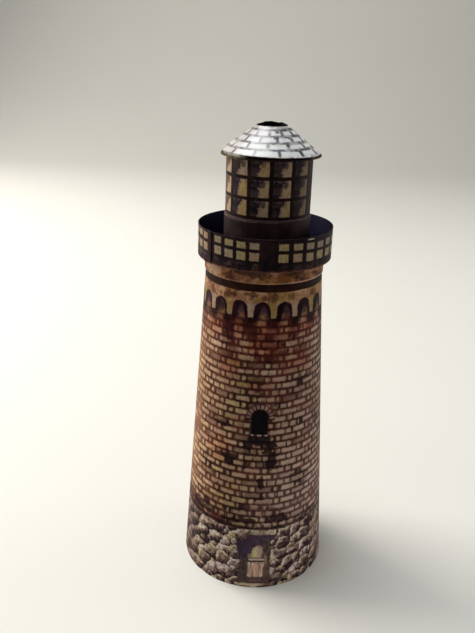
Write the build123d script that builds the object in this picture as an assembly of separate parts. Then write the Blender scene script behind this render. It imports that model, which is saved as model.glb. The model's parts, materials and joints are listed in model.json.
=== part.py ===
from build123d import *
import math
import os

# Card model of a lighthouse. Millimetres, +Z up, the door faces -Y, the foot stands on Z = 0.
# Turns are counted in degrees from -Y towards +X, the way the model reads from its front.

# --- sheet stock -------------------------------------------------------------------------
card = 0.3
seam_gap = 0.35
glue_line = 0.05

# --- tower -------------------------------------------------------------------------------
base_radius = 29.5
stripe_radius = 22.15
stripe_foot_height = 124.3
stripe_width = 2.9
tower_height = 132.4
tower_lap_width = 6.0
tower_seam_turn = 180.0

# --- cornice band round the tower head ---------------------------------------------------
cornice_clearance = 0.05
cornice_lap_width = 5.0
cornice_seam_turn = 168.0

# --- gallery -----------------------------------------------------------------------------
gallery_radius = 24.95
gallery_height = 11.6
gallery_seam_turn = -55.0
gallery_lap_width = 3.4
gallery_lap_rise = 0.25
deck_clearance = 0.05

# --- lantern -----------------------------------------------------------------------------
lantern_radius = 15.6
lantern_height = 36.3
lantern_shift = 0.5
plinth_height = 14.8
lantern_lap_width = 5.0
lantern_seam_turn = 175.0
plinth_seam_turn = 160.0

# --- roof --------------------------------------------------------------------------------
eave_overhang = 1.9
soffit_margin = 1.25
lip_rise = 1.0
lip_inset = 0.7
roof_rise = 8.75
roof_hole_radius = 5.6
roof_shift = 0.9
roof_lap_width = 4.5
roof_seam_turn = 190.0
collar_below = 2.6
collar_front = 0.1
collar_back = 0.9

# --- glue tabs ---------------------------------------------------------------------------
tower_tab_length = 4.0
tower_tab_count = 24
gallery_tab_length = 3.0
gallery_tab_count = 30
gallery_tab_turn = 6.0
lantern_tab_length = 3.2
lantern_tab_count = 18
roof_tab_length = 3.2
roof_tab_count = 20
roof_tab_turn = 4.0
tab_notch = 1.6
tab_root = 0.9
notch_overrun = 1.0

# --- sizes that follow -------------------------------------------------------------------
lap_step = card + glue_line
taper = (base_radius - stripe_radius) / stripe_foot_height
tower_head_radius = base_radius - taper * tower_height
stripe_head_height = stripe_foot_height + stripe_width
cornice_inner = base_radius - taper * stripe_head_height + cornice_clearance
deck_top = tower_height + card
deck_radius = gallery_radius - card - deck_clearance
lantern_foot = deck_top
lantern_head = lantern_foot + lantern_height
soffit_top = lantern_head + card
eave_radius = lantern_radius + eave_overhang
lip_radius = eave_radius - lip_inset
soffit_radius = lip_radius + soffit_margin
roof_slope = roof_rise / (eave_radius - roof_hole_radius)
roof_drop = card * math.sqrt(1.0 + roof_slope ** 2)
lip_side = card * math.sqrt(1.0 + (lip_inset / lip_rise) ** 2)
eave_height = soffit_top + lip_rise
roof_top = eave_height + roof_rise


def turned(shape, turn):
    """Bring a shape drawn on the +X side round to the given turn."""
    return Rot(0, 0, turn - 90.0) * shape


def arc_degrees(width, radius):
    """Degrees that a width takes on a circle of the given radius."""
    return math.degrees(width / radius)


def swept(points, turn, degrees):
    """Sweep a radius and height outline round the axis, centred on the given turn."""
    outline = make_face(Polyline(*[(r, 0, z) for r, z in points], close=True))
    solid = revolve(outline, axis=Axis.Z, revolution_arc=degrees)
    return turned(solid, turn - degrees / 2)


def rolled_sheet(r_low, z_low, r_high, z_high, seam_turn):
    """A rolled sheet with level ends, open by a hairline along its seam."""
    points = [(r_low, z_low), (r_high, z_high), (r_high - card, z_high), (r_low - card, z_low)]
    return swept(points, seam_turn + 180.0, 360.0 - arc_degrees(seam_gap, r_low))


def lap_strip(r_low, z_low, r_high, z_high, seam_turn, width):
    """The strip of a sheet's end that lies against the joint and holds it."""
    points = [(r_low, z_low), (r_high, z_high), (r_high - card, z_high), (r_low - card, z_low)]
    return swept(points, seam_turn, arc_degrees(width, r_low))


def disc(radius, z_low):
    """A flat card disc."""
    return Pos(0, 0, z_low) * Cylinder(radius, card, align=(Align.CENTER, Align.CENTER, Align.MIN))


def tab_ring(radius, length, count, z_low, turn=0.0):
    """Glue tabs folded in along a round edge, joined by the uncut root beside the fold."""
    ring = disc(radius, z_low) - disc(radius - length, z_low)
    reach = radius - tab_root
    inner = radius - length - notch_overrun
    half = tab_notch / 2
    notch = make_face(Polyline((reach, 0, 0), (inner, -half, 0), (inner, half, 0), close=True))
    cutter = extrude(notch, amount=3 * card, dir=(0, 0, 1))
    for step in range(count):
        ring -= Pos(0, 0, z_low - card) * turned(cutter, turn + step * 360.0 / count)
    return ring


# --- tower -------------------------------------------------------------------------------
tower_wall = rolled_sheet(base_radius, 0.0, tower_head_radius, tower_height, tower_seam_turn)
tower_lap = lap_strip(
    base_radius - lap_step, 0.0, tower_head_radius - lap_step, tower_height - lap_step,
    tower_seam_turn, tower_lap_width
)
tower_tabs = tab_ring(
    tower_head_radius - lap_step, tower_tab_length, tower_tab_count, tower_height - card
)

# --- cornice band ------------------------------------------------------------------------
cornice_radius = cornice_inner + card
cornice_band = rolled_sheet(
    cornice_radius, stripe_head_height, cornice_radius, tower_height, cornice_seam_turn
)
cornice_lap = lap_strip(
    cornice_radius + lap_step, stripe_head_height, cornice_radius + lap_step, tower_height,
    cornice_seam_turn, cornice_lap_width
)

# --- gallery -----------------------------------------------------------------------------
gallery_deck = disc(deck_radius, tower_height)
gallery_tabs = tab_ring(deck_radius, gallery_tab_length, gallery_tab_count, deck_top, gallery_tab_turn)
gallery_ring = rolled_sheet(
    gallery_radius, tower_height, gallery_radius, tower_height + gallery_height, gallery_seam_turn
)
gallery_lap = lap_strip(
    gallery_radius + lap_step, tower_height, gallery_radius + lap_step,
    tower_height + gallery_height + gallery_lap_rise, gallery_seam_turn, gallery_lap_width
)

# --- lantern -----------------------------------------------------------------------------
lantern_wall = rolled_sheet(
    lantern_radius, lantern_foot, lantern_radius, lantern_head, lantern_seam_turn
)
lantern_lap = lap_strip(
    lantern_radius - lap_step, lantern_foot + lap_step, lantern_radius - lap_step, lantern_head - lap_step,
    lantern_seam_turn, lantern_lap_width
)
plinth_radius = lantern_radius + lap_step
lantern_plinth = rolled_sheet(
    plinth_radius, lantern_foot, plinth_radius, lantern_foot + plinth_height, plinth_seam_turn
)
foot_tabs = tab_ring(lantern_radius - lap_step, lantern_tab_length, lantern_tab_count, lantern_foot)
head_tabs = tab_ring(
    lantern_radius - lap_step, lantern_tab_length, lantern_tab_count, lantern_head - card
)
lantern_place = Pos(lantern_shift, 0, 0)
lantern_wall = lantern_place * lantern_wall
lantern_lap = lantern_place * lantern_lap
lantern_plinth = lantern_place * lantern_plinth
foot_tabs = lantern_place * foot_tabs
head_tabs = lantern_place * head_tabs

# --- roof --------------------------------------------------------------------------------
roof_place = Pos(roof_shift, 0, 0)
roof_soffit = roof_place * disc(soffit_radius, lantern_head)
roof_outline = [
    (lip_radius, soffit_top),
    (eave_radius, eave_height),
    (roof_hole_radius, roof_top),
    (roof_hole_radius, roof_top - roof_drop),
    (eave_radius - lip_side, eave_height + (lip_side * roof_slope - roof_drop)),
    (lip_radius - lip_side, soffit_top),
]
roof_seam = arc_degrees(seam_gap, eave_radius)
roof_cone = roof_place * swept(roof_outline, roof_seam_turn + 180.0, 360.0 - roof_seam)
lap_outline = [
    (eave_radius, eave_height + roof_drop + glue_line),
    (roof_hole_radius, roof_top + roof_drop + glue_line),
    (roof_hole_radius, roof_top + glue_line),
    (eave_radius, eave_height + glue_line),
]
roof_lap = roof_place * swept(lap_outline, roof_seam_turn, arc_degrees(roof_lap_width, eave_radius))
tab_reach = lip_radius - lip_side - glue_line
roof_tabs = tab_ring(tab_reach, roof_tab_length, roof_tab_count, soffit_top, roof_tab_turn)
roof_tabs = roof_place * roof_tabs

# --- torn collar in the top of the roof --------------------------------------------------
collar_radius = roof_hole_radius - glue_line
collar_foot = roof_top - roof_drop - collar_below
collar_head = roof_top + collar_back
collar_outline = [
    (collar_radius, collar_foot),
    (collar_radius, collar_head),
    (collar_radius - card, collar_head),
    (collar_radius - card, collar_foot),
]
apex_collar = swept(collar_outline, 0.0, 360.0)
# the head slopes from almost flush at the front to its full height at the back
head_slope = (collar_back - collar_front) / (2 * collar_radius)
head_plane = Plane(origin=(0, collar_radius, collar_head), z_dir=(0, -head_slope, 1))
apex_collar = split(apex_collar, bisect_by=head_plane, keep=Keep.BOTTOM)
# each tear: turn of its lowest point, its width and its depth below the full height
tears = (
    (-138.0, 3.4, 0.6),
    (-160.0, 2.6, 0.3),
    (176.0, 3.0, 0.25),
    (150.0, 2.8, 0.6),
    (118.0, 3.6, 0.75),
    (96.0, 2.4, 0.85),
    (-104.0, 3.2, 0.85),
)
for tear_turn, tear_width, tear_depth in tears:
    tear = make_face(
        Polyline(
            (0, 0, collar_head - tear_depth),
            (0, tear_width / 2, collar_head + card),
            (0, -tear_width / 2, collar_head + card),
            close=True,
        )
    )
    apex_collar -= turned(extrude(tear, amount=2 * collar_radius, dir=(1, 0, 0)), tear_turn)
apex_collar = roof_place * apex_collar

# --- export ------------------------------------------------------------------------------
nodes = {
    "tower_wall": tower_wall,
    "tower_lap": tower_lap,
    "tower_tabs": tower_tabs,
    "cornice_band": cornice_band,
    "cornice_lap": cornice_lap,
    "gallery_deck": gallery_deck,
    "gallery_tabs": gallery_tabs,
    "gallery_ring": gallery_ring,
    "gallery_lap": gallery_lap,
    "lantern_wall": lantern_wall,
    "lantern_lap": lantern_lap,
    "lantern_plinth": lantern_plinth,
    "lantern_foot_tabs": foot_tabs,
    "lantern_head_tabs": head_tabs,
    "roof_soffit": roof_soffit,
    "roof_cone": roof_cone,
    "roof_lap": roof_lap,
    "roof_tabs": roof_tabs,
    "apex_collar": apex_collar,
}
os.makedirs("parts", exist_ok=True)
for name, shape in nodes.items():
    export_step(shape, f"parts/{name}.step")
    box = shape.bounding_box()
    heights = f"z {box.min.Z:.2f}..{box.max.Z:.2f}"
    print(f"{name:18s} solids {len(shape.solids())} volume {shape.volume:9.2f} {heights}")
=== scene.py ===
import json
import logging
import math
from collections.abc import Callable
from dataclasses import dataclass
from enum import Enum
from typing import Union

import bpy
import numpy as np
from mathutils import Matrix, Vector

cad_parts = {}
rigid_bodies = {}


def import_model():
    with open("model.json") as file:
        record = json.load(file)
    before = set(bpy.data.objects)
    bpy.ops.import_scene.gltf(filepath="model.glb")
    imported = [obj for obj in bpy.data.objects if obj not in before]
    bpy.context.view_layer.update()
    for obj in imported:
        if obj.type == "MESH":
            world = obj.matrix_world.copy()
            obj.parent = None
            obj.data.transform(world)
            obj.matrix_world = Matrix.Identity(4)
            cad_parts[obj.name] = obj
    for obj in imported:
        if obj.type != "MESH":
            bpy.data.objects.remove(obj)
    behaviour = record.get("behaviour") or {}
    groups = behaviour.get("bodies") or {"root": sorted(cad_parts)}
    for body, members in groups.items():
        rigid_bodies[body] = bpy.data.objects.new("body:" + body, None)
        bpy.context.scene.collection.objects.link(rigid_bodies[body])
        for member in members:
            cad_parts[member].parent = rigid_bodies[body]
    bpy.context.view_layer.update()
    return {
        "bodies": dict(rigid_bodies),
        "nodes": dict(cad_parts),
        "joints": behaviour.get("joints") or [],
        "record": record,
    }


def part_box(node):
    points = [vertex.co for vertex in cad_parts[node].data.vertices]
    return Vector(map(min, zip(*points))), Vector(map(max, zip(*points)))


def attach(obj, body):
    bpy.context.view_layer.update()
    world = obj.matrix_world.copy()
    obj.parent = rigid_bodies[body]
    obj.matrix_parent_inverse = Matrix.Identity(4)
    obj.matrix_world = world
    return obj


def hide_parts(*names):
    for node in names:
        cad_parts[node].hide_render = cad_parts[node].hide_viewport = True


# Looks for a printed card lighthouse: rolled sheets, their cut edges, their prints, and the studio.

LOG = logging.getLogger("card_lighthouse")
MM = 0.001
TURN = 2.0 * math.pi
SHARP_ANGLE = 40.0
NOISE_MIDDLE = 0.5
NOISE_GAIN = 7.0
Colour = tuple[float, float, float]
Number = Union["Val", float]
Grid = np.ndarray
Socket = bpy.types.NodeSocket
Material = bpy.types.Material
Object = bpy.types.Object


def linear(colour: Colour) -> Colour:
    """Turn a colour written on the 0 to 255 screen scale into linear light.

    Args:
        colour: red, green and blue, each 0 to 255.

    Returns:
        The same colour with linear parts from 0 to 1.
    """
    parts = np.array(colour) / 255.0
    light = np.where(parts <= 0.04045, parts / 12.92, ((parts + 0.055) / 1.055) ** 2.4)
    return tuple(float(part) for part in light)


# --- Shader maths ---
def arithmetic(operation: str, doc: str, swap: bool = False) -> Callable[..., "Val"]:
    """Write a method of Val that adds one Math node.

    Args:
        operation: the node's operation.
        doc: the method's docstring.
        swap: put the method's own value last.

    Returns:
        The method.
    """

    def method(self: "Val", *others: Number) -> "Val":
        values = (*others, self) if swap else (self, *others)
        made = self.shader.node("Math", {"operation": operation}, dict(enumerate(values)))
        return Val(self.shader, made.outputs[0])

    method.__doc__ = doc
    return method


class Val:
    """A number that varies over a surface, with ordinary arithmetic."""

    def __init__(self, shader: "Shader", socket: Socket) -> None:
        """Wrap one output socket of a shader."""
        self.shader = shader
        self.socket = socket

    __add__ = arithmetic("ADD", "Sum.")
    __radd__ = arithmetic("ADD", "Sum, number first.", swap=True)
    __sub__ = arithmetic("SUBTRACT", "Difference.")
    __rsub__ = arithmetic("SUBTRACT", "Difference, number first.", swap=True)
    __mul__ = arithmetic("MULTIPLY", "Product.")
    __rmul__ = arithmetic("MULTIPLY", "Product, number first.", swap=True)
    __truediv__ = arithmetic("DIVIDE", "Quotient.")
    floor = arithmetic("FLOOR", "The whole number at or below.")
    frac = arithmetic("FRACT", "The part after the whole number at or below.")
    abs = arithmetic("ABSOLUTE", "The size without its sign.")
    root = arithmetic("SQRT", "The square root.")
    min = arithmetic("MINIMUM", "The smaller of two.")
    max = arithmetic("MAXIMUM", "The larger of two.")
    below = arithmetic("LESS_THAN", "1 where this is smaller, else 0.")
    above = arithmetic("GREATER_THAN", "1 where this is larger, else 0.")
    angle_from = arithmetic("ARCTAN2", "The angle with this as its sine side, the other as its cosine side.")

    def cells(self) -> tuple["Val", "Val"]:
        """The number of the cell that this falls in, and how far into the cell it lies, 0 to 1."""
        number = self.floor()
        return number, self - number

    def __neg__(self) -> "Val":
        """The negative."""
        return self * -1.0

    def rise(self, start: float, end: float) -> "Val":
        """An S-shaped climb from 0 to 1 between two values; it falls when end is below start.

        Args:
            start: where the climb leaves 0.
            end: where it reaches 1.

        Returns:
            The climb, 0 to 1.
        """
        low, high = (start, end) if start <= end else (end, start)
        ends = (0.0, 1.0) if start <= end else (1.0, 0.0)
        made = self.shader.node(
            "MapRange",
            {"interpolation_type": "SMOOTHSTEP", "clamp": True},
            {0: self, 1: low, 2: high, 3: ends[0], 4: ends[1]},
        )
        return Val(self.shader, made.outputs[0])

    def span(self, start: float, full: float, last: float, end: float) -> "Val":
        """A climb from 0 to 1 between the first two values, times a fall back to 0 between the last two."""
        return self.rise(start, full) * self.rise(last, end)

    def within(self, low: float, high: float, soft: float) -> "Val":
        """1 between two values and 0 outside, with soft borders.

        Args:
            low: the lower value.
            high: the upper value.
            soft: half the width of each border.

        Returns:
            1 inside and 0 outside.
        """
        middle = 0.5 * (low + high)
        half = 0.5 * (high - low)
        return (self - middle).abs().rise(half + soft, half - soft)

    def clip(self) -> "Val":
        """Keep to 0 to 1."""
        return self.max(0.0).min(1.0)


class Shader:
    """One material under construction, with the few kinds of node that the finishes use."""

    def __init__(self, name: str, centre: float = 0.0) -> None:
        """Start an empty material with a Principled surface.

        Args:
            name: the material's name.
            centre: how far, in millimetres along X, the printed sheet's own axis lies from the tower's.
        """
        self.centre = centre
        self.material = bpy.data.materials.new(name)
        self.material.use_nodes = True
        self.tree = self.material.node_tree
        self.tree.nodes.clear()
        output = self.node("OutputMaterial")
        self.surface = self.node("BsdfPrincipled")
        self.tree.links.new(self.surface.outputs[0], output.inputs[0])
        place = self.node("TexCoord").outputs["Object"]
        self.place = self.vector("SCALE", place, scale=1.0 / MM)
        split = self.node("SeparateXYZ", {}, {0: self.place})
        self.x, self.y, self.z = (Val(self, split.outputs[i]) for i in range(3))

    def node(self, kind: str, settings: dict | None = None, inputs: dict | None = None) -> bpy.types.Node:
        """Add a node.

        Args:
            kind: the node's type, without the words that all of them start with.
            settings: its properties, set first.
            inputs: socket name or number to a Val, a socket or a plain value.

        Returns:
            The new node.
        """
        made = self.tree.nodes.new("ShaderNode" + kind)
        for key, value in (settings or {}).items():
            setattr(made, key, value)
        for key, value in (inputs or {}).items():
            self.feed(made.inputs[key], value)
        return made

    def feed(self, socket: Socket, value: object) -> None:
        """Link or set one input socket.

        Args:
            socket: the input.
            value: a Val, a Tint, a socket, a colour or a plain value.
        """
        if isinstance(value, (Val, Tint)):
            value = value.socket
        if isinstance(value, Socket):
            self.tree.links.new(value, socket)
        elif isinstance(value, tuple) and len(value) == 3 and socket.type == "RGBA":
            socket.default_value = (*linear(value), 1.0)
        else:
            socket.default_value = value

    def vector(self, operation: str, *values: object, scale: float | None = None) -> Socket:
        """Add a Vector Math node and return its vector.

        Args:
            operation: the node's operation.
            values: what goes in, in order.
            scale: the factor, where the operation has one.

        Returns:
            The vector.
        """
        made = self.node("VectorMath", {"operation": operation}, dict(enumerate(values)))
        if scale is not None:
            made.inputs["Scale"].default_value = scale
        return made.outputs[0]

    def stretched(self, x: float, y: float, z: float) -> Socket:
        """The surface point with its parts multiplied, which draws a pattern out."""
        return self.vector("MULTIPLY", self.place, (x, y, z))

    def moved(self, x: float, y: float, z: float, at: Socket | None = None) -> Socket:
        """The surface point or another one moved, which picks another stretch of a pattern."""
        return self.vector("ADD", at or self.place, (x, y, z))

    def point(self, x: Number, y: Number, z: Number = 0.0) -> Socket:
        """Join three numbers into a vector."""
        return self.node("CombineXYZ", {}, {0: x, 1: y, 2: z}).outputs[0]

    def noise(
        self, size: float, detail: float = 2.0, rough: float = 0.5, at: Socket | None = None
    ) -> Val:
        """Cloudy noise about 0.5.

        Args:
            size: the clouds' size in millimetres.
            detail: how many finer layers it has.
            rough: how strong the finer layers are.
            at: where it is read, or the surface point if left out.

        Returns:
            The noise value.
        """
        made = self.node(
            "TexNoise",
            {"noise_dimensions": "3D"},
            {"Vector": at or self.place, "Scale": 1.0 / size, "Detail": detail, "Roughness": rough},
        )
        return Val(self, made.outputs["Fac"])

    def swing(self, size: float, reach: float, at: Socket | None = None) -> Val:
        """Rough noise about 0 that strays about this far either way."""
        return (self.noise(size, 3.0, 0.62, at) - NOISE_MIDDLE) * (NOISE_GAIN * reach)

    def chance(self, *cell: Number) -> tuple[Val, Val, Val]:
        """Three random numbers that stay the same over one cell of a pattern.

        Args:
            cell: two or three numbers, each the same all over the cell.

        Returns:
            The three numbers, 0 to 1.
        """
        made = self.node("TexWhiteNoise", {"noise_dimensions": "3D"}, {"Vector": self.point(*cell)})
        split = self.node("SeparateColor", {}, {0: made.outputs["Color"]})
        return tuple(Val(self, split.outputs[i]) for i in range(3))

    def mix(self, amount: Number, first: object, second: object, blend: str = "MIX") -> "Tint":
        """Blend two colours by an amount from 0 to 1."""
        made = self.node("Mix", {"data_type": "RGBA", "blend_type": blend}, {0: amount, 6: first, 7: second})
        return Tint(self, made.outputs[2])

    def bump(self, height: Val, reach: float) -> Socket:
        """Turn a height from 0 to 1 into a normal, its depth in millimetres."""
        made = self.node("Bump", {}, {"Height": height, "Distance": reach * MM, "Strength": 1.0})
        return made.outputs[0]

    def finish(
        self, colour: object, rough: Number, normal: object = None, specular: float = 0.4
    ) -> Material:
        """Feed the Principled surface and hand over the material.

        Args:
            colour: the base colour.
            rough: the roughness.
            normal: the bumped normal, if it has one.
            specular: the specular level.

        Returns:
            The material.
        """
        self.feed(self.surface.inputs["Base Color"], colour)
        self.feed(self.surface.inputs["Roughness"], rough)
        self.surface.inputs["Specular IOR Level"].default_value = specular
        if normal is not None:
            self.feed(self.surface.inputs["Normal"], normal)
        return self.material

    def card(self, colour: "Tint", rough: float, spread: float, specular: float = 0.05) -> Material:
        """Finish printed card: its fibre makes it uneven and a little rougher in places."""
        fibre = self.fibre()
        return self.finish(colour, rough + fibre * spread, self.bump(fibre, 0.012), specular)

    def turns(self) -> Val:
        """The turn round the sheet's axis in degrees, 0 at -Y and growing towards +X."""
        return (self.x - self.centre).angle_from(-self.y) * (360.0 / TURN)

    def fibre(self) -> Val:
        """Fine paper fibre, for bump and for tiny differences in ink."""
        return self.noise(0.28, 3.0, 0.65)


class Tint:
    """A colour that varies over a surface and takes one layer after another."""

    def __init__(self, shader: Shader, socket: Socket) -> None:
        """Wrap one colour output of a shader."""
        self.shader = shader
        self.socket = socket

    def lay(self, amount: Number, over: object, blend: str = "MIX") -> "Tint":
        """Lay another colour over it, by an amount from 0 to 1."""
        self.socket = self.shader.mix(amount, self, over, blend).socket
        return self

    def darken(self, amount: Number, by: Colour) -> "Tint":
        """Multiply it by another colour, by an amount from 0 to 1."""
        return self.lay(amount, by, "MULTIPLY")


# --- Finishes ---
# A print is drawn by placing. Bare numbers in rise, span and within are millimetres above the floor or across
# the sheet, degrees round it, or levels of a noise or a chance, which run from 0 to 1. A factor after them is
# how strongly that layer shows. Colours are on the 0 to 255 screen scale. Nodes are added in the order in
# which their values are used up, which keeps a large print within what one material can hold.
@dataclass(frozen=True)
class Stain:
    """A soft blot in a print.

    Args:
        turn: its middle in degrees round the tower.
        height: its middle in millimetres above the foot.
        wide: half its width in millimetres.
        tall: half its height in millimetres.
        strength: how strongly it shows, 0 to 1.
    """

    turn: float
    height: float
    wide: float
    tall: float
    strength: float = 1.0

    def amount(self, shader: Shader, turns: Val, radius: float, ragged: Val) -> Val:
        """Strength of the blot: an ellipse whose border is pushed about by a ragged noise.

        Args:
            shader: the print's shader.
            turns: the turn round the sheet, in degrees.
            radius: the sheet's radius there.
            ragged: the noise that pushes the border about.

        Returns:
            The strength, from 0 to the stain's own.
        """
        across = (turns - self.turn) * (radius * TURN / 360.0 / self.wide)
        up = (shader.z - self.height) / self.tall
        far = (across * across + up * up).root() + ragged
        return far.rise(1.3, 0.72) * self.strength


def spots(*rows: tuple[float, ...]) -> tuple[Stain, ...]:
    """Stains from rows of turn, height, half width, half height and, if it isn't full, strength."""
    return tuple(Stain(*row) for row in rows)


@dataclass(frozen=True)
class FrameStone:
    """A rounded stone of the doorway: its middle and half its size in millimetres, and its paleness."""

    across: float
    height: float
    wide: float
    tall: float
    pale: float = 1.0


@dataclass(frozen=True)
class BareCard:
    """Unprinted back of the card, off-white with faint fibre."""

    name: str = "bare_card"
    colour: Colour = (214, 208, 196)
    shade: Colour = (188, 180, 166)

    def build(self) -> Material:
        """Make the material.

        Returns:
            The material.
        """
        s = Shader(self.name)
        cloud = s.noise(9, 3).rise(0.35, 0.7)
        fibre = s.fibre()
        colour = s.mix(cloud * 0.6 + fibre * 0.25, self.colour, self.shade)
        return s.finish(colour, 0.72 + fibre * 0.12, s.bump(fibre, 0.02), specular=0.25)


@dataclass(frozen=True)
class CutEdge:
    """The scissor-cut edge of the card: pale core with ink drawn over parts of it."""

    name: str = "cut_edge"
    core: Colour = (150, 132, 112)
    inked: Colour = (70, 52, 44)
    share: float = 0.5

    def build(self) -> Material:
        """Make the material.

        Returns:
            The material.
        """
        s = Shader(self.name)
        bleed = s.noise(2.4, 3, 0.6).rise(self.share - 0.12, self.share + 0.12)
        colour = s.mix(bleed, self.core, self.inked)
        return s.finish(colour, 0.8 - bleed * 0.1, specular=0.2)


@dataclass(frozen=True)
class InkedCard:
    """Card covered in dark ink, slightly uneven, with scuffed lighter clouds."""

    name: str
    deep: Colour
    worn: Colour
    rough: float = 0.62

    def build(self) -> Material:
        """Make the material.

        Returns:
            The material.
        """
        s = Shader(self.name)
        cloud = s.noise(5, 4, 0.6).rise(0.42, 0.72)
        streak = s.noise(1.6, 2, 0.5, s.stretched(1, 1, 0.25)).rise(0.4, 0.75)
        fibre = s.fibre()
        colour = s.mix((cloud * 0.65 + streak * 0.35).clip(), self.deep, self.worn)
        return s.finish(colour, self.rough + cloud * 0.12, s.bump(fibre, 0.015), specular=0.1)


class TowerZone(Enum):
    """The stretches of the tower's sheet, foot to head, each from one height to another in millimetres."""

    FOOT = (0.0, 32.0)
    SHAFT = (32.0, 104.5)
    HEAD = (104.5, 140.0)


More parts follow.
